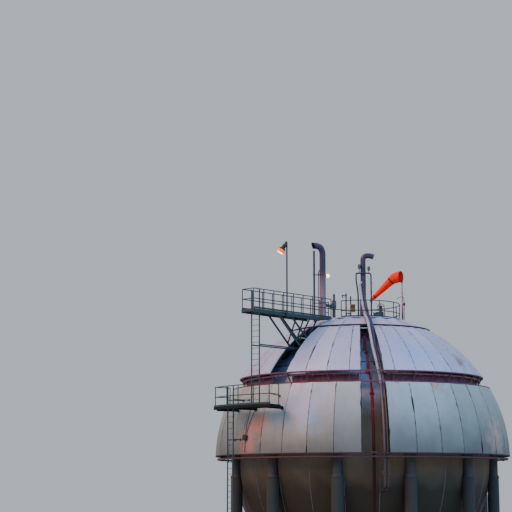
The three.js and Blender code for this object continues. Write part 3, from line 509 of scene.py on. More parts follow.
def gusset(part, base, toward, thick=0.03):
    """A plate from the column's face to the pin, with its far corners cut off."""
    along = (toward - base).normalized()
    shape = [(0.3, -GUSSET_HALF), (0.48, -GUSSET_HALF), (GUSSET_REACH, -0.06)]
    shape += [(r, -h) for r, h in shape[::-1]]
    plate(part, [base + along * r + UP * h for r, h in shape], UP.cross(along).normalized() * thick)


def sway_rod(part, low, high, side):
    """One rod with forks and pins at its ends and a turnbuckle half-way."""
    along = (high - low).normalized()
    face = along.cross(UP).normalized()
    shift = face * side
    sweep(part, [low + along * FORK + shift, high - along * FORK + shift], ROD_R)
    middle = (low + high) / 2 + shift
    for offset in (-0.05, 0.05):
        spot = middle + along.cross(face) * offset
        bar(part, spot - along * BUCKLE_HALF, spot + along * BUCKLE_HALF, 0.03, 0.06, face)
    for end in (-BUCKLE_HALF - 0.05, BUCKLE_HALF - 0.05):
        turned(part, middle + along * end, [(0, 0.05), (0.02, 0.07), (0.08, 0.07), (0.1, 0.05)], 12, along)
    for tip, inward in ((low, along), (high, -along)):
        for cheek in (face * -0.028, face * 0.028):
            bar(part, tip - inward * 0.05 + cheek, tip + inward * (FORK + 0.03) + cheek * 1.3,
                0.014, 0.11, face.cross(along))
        for start, radius, long, sides in (
                (-0.055, 0.03, 0.11, 12), (-0.05, 0.045, 0.012, 6), (0.038, 0.045, 0.012, 6)):
            disc(part, tip + face * start, radius, long, sides, face)


for group in range(4):
    part = bmesh.new()
    for bay in range(group * BAYS_PER_NODE, (group + 1) * BAYS_PER_NODE):
        left, right = COLUMN_AZ[bay], COLUMN_AZ[(bay + 1) % 12]
        pins = {}
        for a, b in ((left, right), (right, left)):
            for height in ROD_HEIGHTS:
                here, there = at(a, COLUMN_AXIS_R, height), at(b, COLUMN_AXIS_R, height)
                gusset(part, here, there)
                pins[a, height] = here + (there - here).normalized() * PIN_REACH
        high, low = ROD_HEIGHTS
        sway_rod(part, pins[left, low], pins[right, high], ROD_APART)
        sway_rod(part, pins[right, low], pins[left, high], -ROD_APART)
    node = f"sway_rods_{group + 1}"
    piece(f"{node}_steel", part, rod_steel, [node])
part = bmesh.new()
for azimuth in COLUMN_AZ:
    for height in ROD_HEIGHTS:
        low, high = height - STRAP_HALF, height + STRAP_HALF
        column_skin(part, azimuth, [(low, COLUMN_R), (low, STRAP_R), (high, STRAP_R), (high, COLUMN_R)])
piece("sway_rod_straps", part, rod_steel)

# Cladding. Thirty-six panels to a belt, each one aluminium sheet with its edges
# folded in. They are screwed to ribs, with an open joint between neighbours. Two
# bays are left open: one for the risers and one for the bridge's struts.
CLAD_R = 8.2
SHEET_EDGE = 0.04
PANEL_DEG = 10
LOWER_BELT = (0.25, 3.88)
UPPER_BELT = (4.53, 7.15)
LOWER_PARTS = {"right": (10, 130), "back": (130, 245), "left": (245, 360)}
UPPER_PARTS = {"right": (10, 160), "back": (160, 315), "front": (325, 360)}
JOINT = 0.013
GAPE = 0.09
BULGE = 0.33
RIB_HALF = 0.035
RIB_BACK = 0.11
SCREW_SIDE = 0.045
SCREW_R = 0.013
UPPER_TURN = 5


def aluminium_sheet(name, turn, darker, paler):
    """Weathered mill-finish sheet: a soft satin metal, each panel a little lighter or
    darker than the next, dull where rain dries on it, with slight dents."""
    material, tree, shader, place = new_material(name)
    parts = add(tree, "SeparateXYZ", {"Vector": place}).outputs
    front = add(tree, "Math", {0: parts["Y"], 1: -1.0}, operation="MULTIPLY")
    round_it = add(tree, "Math", {0: parts["X"], 1: front}, operation="ARCTAN2")
    in_panels = add(tree, "Math", {
        0: round_it, 1: 180 / math.pi / PANEL_DEG, 2: 40 - turn / PANEL_DEG}, operation="MULTIPLY_ADD")
    number = add(tree, "Math", {0: in_panels}, operation="FLOOR")
    each = add(tree, "TexWhiteNoise", {"W": number.outputs[0]}, noise_dimensions="1D")
    tone = add(tree, "MixRGB", {
        "Fac": each.outputs["Value"], "Color1": linear(darker), "Color2": linear(paler)})
    clouds = add(tree, "TexNoise", {"Vector": place, "Scale": 0.55, "Detail": 5, "Roughness": 0.55})
    haze = add(tree, "MapRange", {"Value": clouds, "From Min": 0.42, "From Max": 0.7, "To Max": 0.45})
    oxide = add(tree, "MixRGB", {"Fac": haze, "Color1": tone, "Color2": linear("98a3ac")})
    run = rained_on(tree, place, oxide, "8b8587", (5.0, 5.0, 0.3), 6, 0.53, 0.78, 0.3)
    # Rust washes out of the frame above and dries on the top of the lower belt.
    top = add(tree, "MapRange", {
        "Value": parts["Z"], "From Min": CENTRE_Z + 3.2, "From Max": CENTRE_Z + 3.9})
    spots = add(tree, "TexNoise", {"Vector": place, "Scale": 0.9, "Detail": 6, "Roughness": 0.6})
    found = add(tree, "MapRange", {"Value": spots, "From Min": 0.56, "From Max": 0.66, "To Max": 0.8})
    below = add(tree, "Math", {0: parts["Z"], 1: CENTRE_Z + 4.2}, operation="LESS_THAN")
    wash = add(tree, "Math", {0: top, 1: found}, operation="MULTIPLY")
    lower_only = add(tree, "Math", {0: wash, 1: below}, operation="MULTIPLY")
    rusted = add(tree, "MixRGB", {"Fac": lower_only, "Color1": run, "Color2": linear("b0776a")})
    dull = add(tree, "MapRange", {"Value": clouds, "To Min": 0.42, "To Max": 0.66})
    dents = add(tree, "TexNoise", {"Vector": place, "Scale": 1.3, "Detail": 1})
    relief = add(tree, "Bump", {"Height": dents, "Distance": 0.03, "Strength": 0.22})
    plug(shader, {"Base Color": rusted, "Metallic": 0.3, "Roughness": dull, "Normal": relief})
    return material


def joint_half(seam, latitude):
    """Half an open joint's width: sheet edges have lifted, so it gapes in places."""
    lifted = noise.noise(Vector((seam * 0.73, latitude * 0.33, 3.1)))
    return JOINT + GAPE * max(0.0, lifted - 0.12)


def panel_radius(share, width):
    """A panel is nearly flat across: a chord with a third of the arc's bulge."""
    chord = math.cos(math.radians(width / 2)) / math.cos(math.radians(width * (share - 0.5)))
    return CLAD_R * (chord * (1 - BULGE) + BULGE)


def panel(part, start, width, latitudes):
    """One folded sheet between two joints."""
    rings = []
    for share in steps(0, 1, 6):
        ring = []
        for wall, order in ((0, latitudes), (SHEET_EDGE, latitudes[::-1])):
            for latitude in order:
                reach = CLAD_R * math.cos(math.radians(latitude))
                left, right = (math.degrees(joint_half(a, latitude) / reach) for a in (start, start + width))
                azimuth = start + left + (width - left - right) * share
                ring.append(on_sphere(azimuth, latitude, panel_radius(share, width) - wall))
        rings.append(ring)
    loft(part, rings)


def out_of(azimuth, latitude):
    """The direction straight out of the sphere."""
    return on_sphere(azimuth, latitude, 1) - MIDDLE


def belt(name, parts, heights, turn, sheet):
    """A belt of panels, in the parts that the open bays divide it into."""
    low, high = (math.degrees(math.asin(h / CLAD_R)) for h in heights)
    for side, (start, end) in parts.items():
        seams = (turn + PANEL_DEG * k for k in range(-4, 37))
        edges = [start] + [a for a in seams if start < a < end] + [end]
        node = f"{name}_{side}"
        part = bmesh.new()
        for a, b in zip(edges, edges[1:]):
            panel(part, a, b - a, steps(low, high, 28))
        piece(f"{node}_panels", part, sheet, [node], smooth=25)
        part = bmesh.new()
        for a in edges:
            azimuth = a + (0.35 if a == start else -0.35 if a == end else 0)
            across = sideways(a) * RIB_HALF
            rings = []
            for latitude in steps(low, high, 8):
                p = on_sphere(azimuth, latitude, CLAD_R - SHEET_EDGE - 0.005)
                q = on_sphere(azimuth, latitude, CLAD_R - RIB_BACK)
                rings.append([p - across, p + across, q + across * 0.3, q - across * 0.3])
            loft(part, rings)
        piece(f"{node}_ribs", part, rib_steel)
        part = bmesh.new()
        for a in edges:
            for k, latitude in enumerate(steps(low + 1.2, high - 1.2, 9)):
                out = out_of(a, latitude)
                for shift in (-SCREW_SIDE, SCREW_SIDE):
                    if start < a < end or (a == start) == (shift > 0):
                        disc(part, on_sphere(a, latitude, CLAD_R - 0.008, shift), SCREW_R, 0.014, 6, out)
                if k % 2 and start < a < end:
                    tilt = (out_of(a, latitude + 0.5) - out_of(a, latitude - 0.5)).normalized() * 0.06
                    spot = on_sphere(a, latitude, CLAD_R - 0.012)
                    bar(part, spot - tilt, spot + tilt, 0.03, 0.012, out)
        piece(f"{node}_screws", part, screw_steel)


rib_steel = painted_steel(
    "dark primer on cladding ribs", "221a20", "2b2128", "161216", "38231f", rusting=0.3, rough=0.9)
screw_steel = painted_steel(
    "dull zinc on screws and clips", "3a3d42", "474a50", "2b2927", "4d3a30",
    rusting=0.4, rough=0.6, metal=0.4)
# The sheets' cyan green cast on the lower belt and blue cast on the upper one are painted sky reflection. The
# lower belt is drawn darker and greener towards its foot.
lower_sheet = aluminium_sheet("mill finish aluminium sheet, lower belt", 0, "99afa5", "abbfb1")
stain_and_shade_by_height(lower_sheet, "38423a", 4.3, 0.1, 0.86)
upper_sheet = aluminium_sheet("mill finish aluminium sheet, upper belt", UPPER_TURN, "a6b4ca", "b9c4d7")
# Patches on the belts, in places that show from the front. The pale blue ones are
# painted sky reflection, and painted shadow near the landing; the two pink ones below the
# landing are painted warm light and shade; the other three are rust washed over the sheets.
for sheet, hex_code, azimuth, radius, height, reach, amount in (
        (lower_sheet, "7098b0", -33, 7.9, 2.2, 0.9, 0.45),
        (lower_sheet, "5b8c9e", -18, 7.95, 1.9, 1.0, 0.5),
        (lower_sheet, "b0705c", -43, 8.03, 1.67, 1.0, 0.7),
        (lower_sheet, "bc7f74", -47, 8.1, 0.9, 1.2, 0.55),
        (lower_sheet, "cbb09a", 62, 8.06, 1.2, 1.5, 0.5),
        (lower_sheet, "7590b4", -22, 7.6, 3.0, 2.0, 0.6),
        (upper_sheet, "86aade", 28, 5.9, 5.5, 1.9, 0.6),
        (upper_sheet, "8d5458", 58, 6.3, 5.24, 0.75, 0.75),
        (upper_sheet, "9a6a76", 48, 3.28, 7.52, 0.8, 0.7)):
    stain_and_light_near(sheet, hex_code, azimuth, radius, height, reach, amount)
belt("lower_belt", LOWER_PARTS, LOWER_BELT, 0, lower_sheet)
belt("upper_belt", UPPER_PARTS, UPPER_BELT, UPPER_TURN, upper_sheet)

# Crown cap. Eighteen sloping sheets close the top of the cladding round a flat
# deck of sheet with folded standing seams, where the valves are reached.
CROWN_LOW = 7.24
CROWN_TOP = 7.8
DECK_R = radius_at(CROWN_TOP, CLAD_R)


def radial(part, azimuth, radii, height, width, depth, side=0.0):
    """A level flat bar that points at the axis."""
    bar(part, *(at(azimuth, r, height, side) for r in radii), width, depth)


low, high = (math.degrees(math.asin(h / CLAD_R)) for h in (CROWN_LOW, CROWN_TOP))
part = bmesh.new()
turned(part, at(0, 0, CROWN_TOP - SHEET_EDGE), [
    (0, DECK_R - 0.02), (SHEET_EDGE - 0.004, DECK_R + 0.004), (SHEET_EDGE, DECK_R)], 72)
for azimuth in whole_turn(18):
    panel(part, UPPER_TURN + azimuth, 20, steps(low, high, 6))
    radial(part, UPPER_TURN + azimuth, (0.4, DECK_R - 0.02), CROWN_TOP + 0.01, 0.012, 0.03)
sweep(part, [at(a, DECK_R, CROWN_TOP) for a in whole_turn(72)], 0.014, 8, loop=True)
piece("crown_cap_sheets", part, upper_sheet, ["crown_cap"], smooth=25)

# Frames of the cladding. Rolled steel angles run round the tank under each belt,
# on brackets from the columns and arms from the shell. Their primer has rusted,
# and most of what shows in the gap between the belts is this plum-brown steel.
frame_rust = painted_steel(
    "rusted red oxide primer", "5a3745", "6f4858", "281b24", "5a3634", rusting=0.4, rough=0.85, bump=0.004)
bracket_steel = painted_steel(
    "chalky primer on slanted brackets", "84747c", "74646c", "4c3a40", "64423a", rusting=0.35, rough=0.8)
# The ring angles are drawn near black: painted shade of the gaps at the lower belt's foot and under the crown
# cap.
primer_and_shade = painted_steel(
    "plum primer on ring angles, darkened as painted shade", "1d1a26", "26212e", "15121a", "40262a", rusting=0.3, rough=0.85)


def angle_ring(part, corner, leg_in, leg_down, thick=0.009):
    """A rolled angle: its corner, how far one leg runs inward and the other down."""
    r, h = corner
    inner, low, under = r - leg_in, h - leg_down, h - math.copysign(thick, leg_down)
    profile = [(inner, h), (r, h), (r, low), (r - thick, low), (r - thick, under), (inner, under)]
    plate_patch(part, whole_turn(144), profile, loop=True)


def section(part, start, end, flats, reference=UP):
    """A rolled section of flats, each by its shift across and up, its width and its depth."""
    along = (end - start).normalized()
    across = reference.cross(along).normalized()
    for right, over, width, depth in flats:
        shift = across * right + along.cross(across) * over
        bar(part, start + shift, end + shift, width, depth, reference)


part = bmesh.new()
angle_ring(part, (8.19, 0.25), 0.13, 0.06)
for azimuth in COLUMN_AZ:
    radial(part, azimuth, (7.5, 8.08), 0.215, 0.08, 0.05)
    for side in (-0.05, 0.05):
        disc(part, at(azimuth, 8.1, 0.175, side), 0.018, 0.03, 6)
    bar(part, at(azimuth, 7.56, 0.0), at(azimuth, 7.95, 0.2), 0.05, 0.012)
piece("lower_ledger_angle", part, primer_and_shade, ["lower_ledger"])

part = bmesh.new()
angle_ring(part, (7.2, 3.94), 0.1, 0.06)
angle_ring(part, (6.83, 4.47), 0.11, -0.06)
angle_ring(part, (6.46, 3.97), 0.06, 0.06)
for azimuth in COLUMN_AZ:
    section(part, at(azimuth, 5.93, 3.915), at(azimuth, 7.15, 3.915), [
        (-0.03, 0, 0.008, 0.07), (0.03, 0, 0.008, 0.07), (0, -0.025, 0.06, 0.008)])
piece("mid_frame_angles", part, frame_rust, ["mid_frame"])

part = bmesh.new()
for azimuth in whole_turn(36):
    azimuth += UPPER_TURN
    section(part, at(azimuth, 6.43, 3.94), at(azimuth, 6.775, 4.5), [
        (-0.02, 0, 0.008, 0.05), (0.016, 0, 0.008, 0.05), (0, 0, 0.04, 0.008)])
    radial(part, azimuth, (6.38, 7.13), 3.975, 0.05, 0.008)
piece("mid_frame_brackets", part, bracket_steel)

# Wind plates. Thin steel plates stand behind the pipe on the inner ring and keep
# the wind out of the gap. They stop at the two open bays.
part = bmesh.new()
for start, end in ((10.6, 314.4), (325.6, 359.4)):
    profile = [(6.405, 3.95), (6.41, 3.95), (6.41, 4.4), (6.405, 4.4)]
    plate_patch(part, steps(start, end, int((end - start) / 2.5)), profile)
piece("gap_wind_plates", part, frame_rust)

part = bmesh.new()
angle_ring(part, (3.945, 7.24), 0.195, 0.09)
angle_ring(part, (3.9, 7.16), 0.15, -0.05)
for azimuth in COLUMN_AZ:
    bar(part, at(azimuth, 3.8, 5.99), at(azimuth, 3.8, 7.2), 0.08, 0.08, outward(azimuth))
piece("crown_ring_angles", part, primer_and_shade, ["crown_ring"])

# Deluge rings. Painted water pipes run round the tank under each belt, with a spray
# nozzle every ten degrees. The lower one is brown and hangs from the ledger. The
# upper one has faded to pink, and has a gap where the riser passes.
DELUGE_R = 0.05
LOWER_RING = (8.05, 0.05)
UPPER_RING = (6.6, 4.36)
UPPER_RING_OPEN = (2, 12)
HANGER_R = 8.085
faded_red = painted_steel(
    "faded red oxide pipe paint", "774452", "8a6470", "483038", "6c4038", rusting=0.35, runs=0.6, rough=0.6)
brown_oxide = painted_steel(
    "brown oxide pipe paint", "3c2a24", "4a362c", "241b18", "523826", rusting=0.35, runs=0.6, rough=0.7)


def clamp_band(part, centre, along, radius, wide=0.04):
    """A flat band round a pipe, with its two bolted ears."""
    band = [(0, radius), (0, radius + 0.007), (wide, radius + 0.007), (wide, radius)]
    turned(part, centre - along * wide / 2, band, 20, along)
    ear = along.cross(UP).normalized() if abs(along.z) < 0.95 else along.orthogonal().normalized()
    for way in (-ear, ear):
        root = centre + way * radius * 0.95
        bar(part, root, root + way * 0.035, wide, 0.014, along.cross(ear))


def collar(part, base, bore, radius, length, sides=16, axis=UP, edge=0.004):
    """A coupling round a pipe, measured from one of its ends."""
    turned(part, base, [(0, bore), (edge, radius), (length - edge, radius), (length, bore)], sides, axis)


def coupling(part, azimuth, ring, radius):
    """A coupling on a ring of pipe, half of it to each side of an azimuth."""
    collar(part, at(azimuth, *ring, -0.07), DELUGE_R, radius, 0.14, axis=sideways(azimuth))


def spray_nozzle(part, azimuth, ring, tip):
    """A small elbow and a bell-mouthed nozzle, given by the tip's shift in and down."""
    root = at(azimuth, *ring)
    along = at(azimuth, ring[0] + tip[0], ring[1] + tip[1]) - root
    turned(part, root, [
        (0.03, 0.02), (0.09, 0.02), (0.092, 0.028), (0.115, 0.028), (0.118, 0.014), (0.135, 0.03),
        (0.137, 0.03)], 10, along)


part = bmesh.new()
sweep(part, [at(a, *LOWER_RING) for a in whole_turn(144)], DELUGE_R, 14, loop=True)
for azimuth in COLUMN_AZ:
    spot = azimuth + 10
    bar(part, at(spot, HANGER_R, LOWER_RING[1] - 0.01), at(spot, HANGER_R, 0.19), 0.03, 0.008, outward(spot))
    clamp_band(part, at(spot, *LOWER_RING), sideways(spot), DELUGE_R)
    coupling(part, azimuth + 20, LOWER_RING, 0.062)
for azimuth in whole_turn(36):
    spray_nozzle(part, 5 + azimuth, LOWER_RING, (-0.12, -0.08))
piece("lower_deluge_pipe", part, brown_oxide, ["lower_deluge_ring"])

part = bmesh.new()
closed = steps(UPPER_RING_OPEN[1], UPPER_RING_OPEN[0] + 360, 140)
sweep(part, [at(a, *UPPER_RING) for a in closed], DELUGE_R, 14)
for k in range(1, 36):
    azimuth = UPPER_TURN + 10 * k
    spot, out = at(azimuth, *UPPER_RING), outward(azimuth)
    bar(part, spot + out * 0.04, spot + out * 0.09, 0.03, 0.03)
    clamp_band(part, spot, sideways(azimuth), DELUGE_R)
    spray_nozzle(part, azimuth + 3, UPPER_RING, (0.06, -0.12))
    if k % 4 == 0:
        coupling(part, azimuth - 2.5, UPPER_RING, 0.064)
piece("upper_deluge_pipe", part, faded_red, ["upper_deluge_ring"])

# Fire water riser. Steel pipe in deep red enamel from the ground up the open bay,
# flanged, and stepped down to a slimmer pipe that leans over to feed the crown.
RISER_AZ = (4.5, 2.3)
RISER_R = 7.88
RISER_WIDE = 0.08
RISER_SLIM = 0.05
RISER_CHANGE = 26
RISER_TOP = 58
TEE_R = 0.045
riser_red = painted_steel(
    "deep red enamel on pipe", "52020f", "5e0615", "24060c", "38161a", rusting=0.2, runs=0.5, rough=0.6)
# Painted shade: drawn near black from a little above the cladding's lower edge down to the ground.
stain_and_shade_by_height(riser_red, "100506", 2.6, 0.2, 0.92)
chalked(riser_red)


def leaning(azimuths, start, end):
    """The azimuth of a pipe that keeps one value up to a latitude and leans to another."""
    def azimuth_at(latitude):
        share = min(max((latitude - start) / (end - start), 0), 1)
        return azimuths[0] + (azimuths[1] - azimuths[0]) * share
    return azimuth_at


def climb(azimuth_at, low, high, count, radius, side=0.0):
    """Points up the sphere between two latitudes."""
    return [on_sphere(azimuth_at(a), a, radius, side) for a in steps(low, high, count)]


def u_bolt(part, centre, azimuth, out, radius):
    """A bent rod over a pipe that climbs the sphere, with its two legs down to the seat."""
    side = out.cross(sideways(azimuth)).cross(out).normalized() * (radius + 0.008)
    legs = centre - out * radius * 1.5
    arch = [centre + out * math.sin(a) * (radius + 0.008) - side * math.cos(a) for a in steps(0, math.pi, 10)]
    sweep(part, [legs - side] + arch + [legs + side], 0.008, 6)


def standoff(part, azimuth, latitude, top_r, width, foot_r):
    """A square post from the shell to a radius, on a round foot plate."""
    bar(part, on_sphere(azimuth, latitude, SHELL_R - 0.02), on_sphere(azimuth, latitude, top_r),
        width, width, sideways(azimuth))
    disc(part, on_sphere(azimuth, latitude, SHELL_R - 0.005), foot_r, 0.014, 20, out_of(azimuth, latitude))


riser_az = leaning(RISER_AZ, RISER_CHANGE, RISER_TOP)
part = bmesh.new()
foot, *lower_path = [at(RISER_AZ[0], RISER_R, h) for h in (GROUND, -4, 0)]
sweep(part, [foot] + lower_path + climb(riser_az, 1, RISER_CHANGE, 16, RISER_R), RISER_WIDE, 20)
sweep(part, climb(riser_az, RISER_CHANGE - 0.3, RISER_TOP, 26, RISER_R), RISER_SLIM, 16)
wide_end, slim_end = climb(riser_az, RISER_CHANGE, RISER_CHANGE + 1.2, 1, RISER_R)
sweep(part, [wide_end, wide_end.lerp(slim_end, 0.3), slim_end], [RISER_WIDE, RISER_WIDE, RISER_SLIM], 20)
flange(part, foot + UP * 0.015, RISER_WIDE, 0.15, 0.03, 8)
for latitude, radius, bore in ((24, 0.125, RISER_WIDE), (44, 0.09, RISER_SLIM), (57, 0.08, RISER_SLIM)):
    here, there = climb(riser_az, latitude, latitude + 1, 1, RISER_R)
    flange(part, here.lerp(there, 0.4), bore, radius, 0.07, 8, there - here)
for height in (-7.2, -4.9, -2.6):
    clamp_band(part, at(RISER_AZ[0], RISER_R, height), UP, RISER_WIDE)
for height in (-6.0, -3.0):
    turned(part, at(RISER_AZ[0], RISER_R, height), [(0, RISER_WIDE), (0.008, 0.088), (0.03, RISER_WIDE)], 20)
tee_latitude = math.degrees(math.atan2(UPPER_RING[1], UPPER_RING[0]))
tee = at(riser_az(tee_latitude), *UPPER_RING)
for end in (at(UPPER_RING_OPEN[0], *UPPER_RING), on_sphere(riser_az(tee_latitude), tee_latitude, RISER_R)):
    sweep(part, [tee, end], TEE_R, 14)
collar(part, tee + Vector((-0.1, 0, 0)), TEE_R, 0.06, 0.124, axis=Vector((1, 0, 0)))
piece("fire_water_pipe", part, riser_red, ["fire_water_riser"])
part = bmesh.new()
for latitude in (2, 18, 40, 55):
    azimuth = riser_az(latitude)
    bore = RISER_WIDE if latitude < RISER_CHANGE else RISER_SLIM
    out, across = out_of(azimuth, latitude), sideways(azimuth) * 0.14
    standoff(part, azimuth, latitude, RISER_R - bore, 0.05, 0.08)
    seat = on_sphere(azimuth, latitude, RISER_R - bore) - out * 0.006
    bar(part, seat - across, seat + across, 0.06, 0.012, out)
    u_bolt(part, on_sphere(azimuth, latitude, RISER_R), azimuth, out, bore)
piece("riser_standoffs", part, bracket_steel)

# Vent lines. Two enamelled pipes side by side, one pale grey and one dark blue, from
# nozzles below the sphere's middle up the open bay, over the crown and up into the
# centre vent.
VENT_LINE_AZ = (9.15, 7.2)
VENT_LINE_PATH_R = 7.9
VENT_LINE_OVER_R = 8.37
VENT_LINE_R = 0.075
VENT_LINE_SIDE = 0.088
VENT_LINE_LOW = -1.5
VENT_LINE_BEND = 0.18
VENT_LINE_RISE = ((9.2, 2.25, 8.03), (9.2, 1.9, 8.23), (6, 1.65, 9.0), (3.2, 1.6, 9.74))
SADDLE_LATITUDES = (-6, 8, 22, 44)
SADDLE_R = VENT_LINE_PATH_R - VENT_LINE_R - 0.006
VENT_AT = Vector((0.2, -1.3, 0))
pale_vent_paint = painted_steel(
    "pale grey enamel on vent pipe", "a4aab2", "939aa3", "66625f", "6a5044", rusting=0.12, rough=0.45)
dark_vent_paint = painted_steel(
    "dark blue enamel on vent pipe", "2a2b48", "23243d", "10131e", "3a2b2a", rusting=0.12, rough=0.45)
# Painted shade: both pipes are drawn dark down the open bay, and darker under the cladding.
stain_and_shade_by_height(pale_vent_paint, "3b3835", 5.4, 3.2, 0.92)
stain_and_shade_by_height(pale_vent_paint, "2b2825", 2.4, -0.6, 0.8)
stain_and_shade_by_height(dark_vent_paint, "33302e", 5.6, 3.6, 0.92)
stain_and_shade_by_height(dark_vent_paint, "262421", 2.4, -0.6, 0.8)


def rounded(points, rounds=3):
    """A path with its corners cut, again and again, until they are bends."""
    for _ in range(rounds):
        soft = [points[0]]
        for a, b in zip(points, points[1:]):
            soft += [a.lerp(b, 0.25), a.lerp(b, 0.75)]
        points = soft + [points[-1]]
    return points


vent_az = leaning(VENT_LINE_AZ, 30, 59)
line_r = radius_at(VENT_LINE_LOW, VENT_LINE_PATH_R)
for name, side, finish in (
        ("pale", -VENT_LINE_SIDE, pale_vent_paint), ("dark", VENT_LINE_SIDE, dark_vent_paint)):
    part = bmesh.new()
    start = [at(VENT_LINE_AZ[0], r, VENT_LINE_LOW + h, side) for r, h in (
        (SHELL_R - 0.2, 0), (line_r - VENT_LINE_BEND, 0),
        (line_r - VENT_LINE_BEND * 0.3, VENT_LINE_BEND * 0.3), (line_r + 0.01, VENT_LINE_BEND * 1.2))]
    over = climb(vent_az, 0, 48, 24, VENT_LINE_PATH_R, side)
    over += climb(vent_az, 59, 72, 8, VENT_LINE_OVER_R, side)
    rise = [at(azimuth, r, h, side) for azimuth, r, h in VENT_LINE_RISE]
    sweep(part, rounded(start + over + rise, 2), VENT_LINE_R, 16)
    joint, into = rise[-1] - UP * 0.14, VENT_AT + MIDDLE + UP * 9.9
    sweep(part, rounded([joint, joint + UP * 0.14, joint.lerp(into, 0.45) + UP * 0.12, into], 2), 0.06, 14)
    nozzle, out = at(VENT_LINE_AZ[0], SHELL_R, VENT_LINE_LOW, side), outward(VENT_LINE_AZ[0])
    flange(part, nozzle + out * 0.22, VENT_LINE_R, 0.087, 0.06, 8, out)
    disc(part, nozzle - out * 0.17, 0.16, 0.03, 24, out)
    for latitude in SADDLE_LATITUDES:
        azimuth = vent_az(latitude)
        here = on_sphere(azimuth, latitude, VENT_LINE_PATH_R, side)
        u_bolt(part, here, azimuth, (here - MIDDLE).normalized(), VENT_LINE_R)
    piece(f"vent_line_{name}", part, finish, ["vent_line_pair"] if name == "pale" else [])
part = bmesh.new()
for latitude in SADDLE_LATITUDES:
    azimuth = vent_az(latitude)
    for drop, half, width, depth in ((0, 0.2, 0.06, 0.012), (0.02, 0.19, 0.012, 0.05)):
        ends = [on_sphere(azimuth, latitude, SADDLE_R - drop, s) for s in (-half, half)]
        bar(part, *ends, width, depth, out_of(azimuth, latitude))
    standoff(part, azimuth, latitude, SADDLE_R, 0.06, 0.1)
piece("vent_line_saddles", part, bracket_steel)

# Railings. Teal enamelled tube, welded at every post, with a flat kick plate at
# the foot. The crown's runs round the deck and opens towards the bridge.
BRIDGE_AZ = -39.5
CROWN_RAIL_R = 2.25
CROWN_GAP = 12
CROWN_RAIL_HIGH = 0.96
POST_R = 0.026
RAIL_R = 0.025
KICK_HIGH = 0.1
teal_enamel = painted_steel(
    "teal enamel on access steelwork", "123031", "1b3c3c", "0e1c1d", "3d2c25",
    rusting=0.15, runs=0.7, rough=0.55)


def post(part, foot, height):
    """A tube post on a small foot plate, with a domed cap."""
    sweep(part, [foot, foot + UP * height], POST_R, 12)
    disc(part, foot, 0.05, 0.01, 12)
    turned(part, foot + UP * height, [(0, POST_R), (0.01, POST_R * 0.8), (0.016, POST_R * 0.3)], 12)


def kick_plate(part, azimuths, radius, low):
    """A curved kick plate 6 mm thick, by its inner radius and its lower edge."""
    corners = ((0, 0), (0.006, 0), (0.006, KICK_HIGH), (0, KICK_HIGH))
    plate_patch(part, azimuths, [(radius + out, low + up) for out, up in corners])


def railing(part, feet, path, posts_high, heights):
    """Posts on their feet, and a rail over the path at each height."""
    for foot in feet:
        post(part, foot, posts_high)
    for height in heights:
        sweep(part, [p + UP * height for p in path], RAIL_R, 10)


part = bmesh.new()
gap_ends = (BRIDGE_AZ + CROWN_GAP, BRIDGE_AZ + 360 - CROWN_GAP)
feet, path = ([at(a, CROWN_RAIL_R, CROWN_TOP) for a in steps(*gap_ends, count)] for count in (12, 84))
railing(part, feet, path, CROWN_RAIL_HIGH, (0.4, CROWN_RAIL_HIGH))
kick_plate(part, steps(*gap_ends, 84), CROWN_RAIL_R + 0.024, CROWN_TOP + 0.015)
piece("crown_railing_tubes", part, teal_enamel, ["crown_railing"])

# Ladders. Two flat stiles with round rungs let through them. The lower one is
# stayed to two columns and tied to the cladding's ribs; the upper one is tied
# back to the shell through the open bay.
LADDER_R = 8.6
LADDER_HALF = 0.28
RUNG_PITCH = 0.3
RUNG_R = 0.012
STILE = 0.05
LANDING_FLOOR = 2.7
BRIDGE_FLOOR = 7.7
RAIL_HIGH = 1.1
LOWER_LADDER_AZ = -53.5
LADDER_STAY = -4.3
LADDER_TIE = 5.9


def ladder(part, azimuth, bottom, top):
    """A ladder at an azimuth, between two heights; its stiles run on above the last rung."""
    for side in (-LADDER_HALF, LADDER_HALF):
        low, high = at(azimuth, LADDER_R, bottom, side), at(azimuth, LADDER_R, top, side)
        bar(part, low, high, STILE, STILE, outward(azimuth))
        turned(part, high, [(0, 0.024), (0.01, 0.018), (0.014, 0.006)], 10)
        bar(part, low + UP * 0.005, low + UP * 0.017, 0.12, 0.09, outward(azimuth))
    for k in range(1, int((top - RAIL_HIGH - bottom) / RUNG_PITCH) + 1):
        reach = LADDER_HALF + 0.03
        ends = [at(azimuth, LADDER_R, bottom + k * RUNG_PITCH, s) for s in (-reach, reach)]
        sweep(part, ends, RUNG_R, 8)


part = bmesh.new()
ladder(part, LOWER_LADDER_AZ, GROUND, LANDING_FLOOR + RAIL_HIGH)
for side in (-LADDER_HALF, LADDER_HALF):
    for height in (1.0, 3.1):
        inner = radius_at(height, CLAD_R) + 0.01
        radial(part, LOWER_LADDER_AZ, (inner, LADDER_R), height, 0.012, 0.05, side)
        ends = [at(LOWER_LADDER_AZ, inner + 0.006, height, side + s) for s in (-0.06, 0.06)]
        bar(part, *ends, 0.012, 0.12)
for azimuth, side in ((-70, -LADDER_HALF), (-40, LADDER_HALF)):
    foot = at(azimuth, COLUMN_AXIS_R, LADDER_STAY)
    head = at(LOWER_LADDER_AZ, LADDER_R, LADDER_STAY, side)
    along = (head - foot).normalized()
    start = foot + along * (COLUMN_R + 0.01)
    section(part, start, head, [(0, 0, 0.008, 0.06), (0, -0.026, 0.05, 0.008)])
    disc(part, foot + along * COLUMN_R, 0.09, 0.012, 16, along)
piece("lower_ladder_steel", part, teal_enamel, ["lower_ladder"])
part = bmesh.new()
ladder(part, BRIDGE_AZ, LANDING_FLOOR, BRIDGE_FLOOR + RAIL_HIGH)
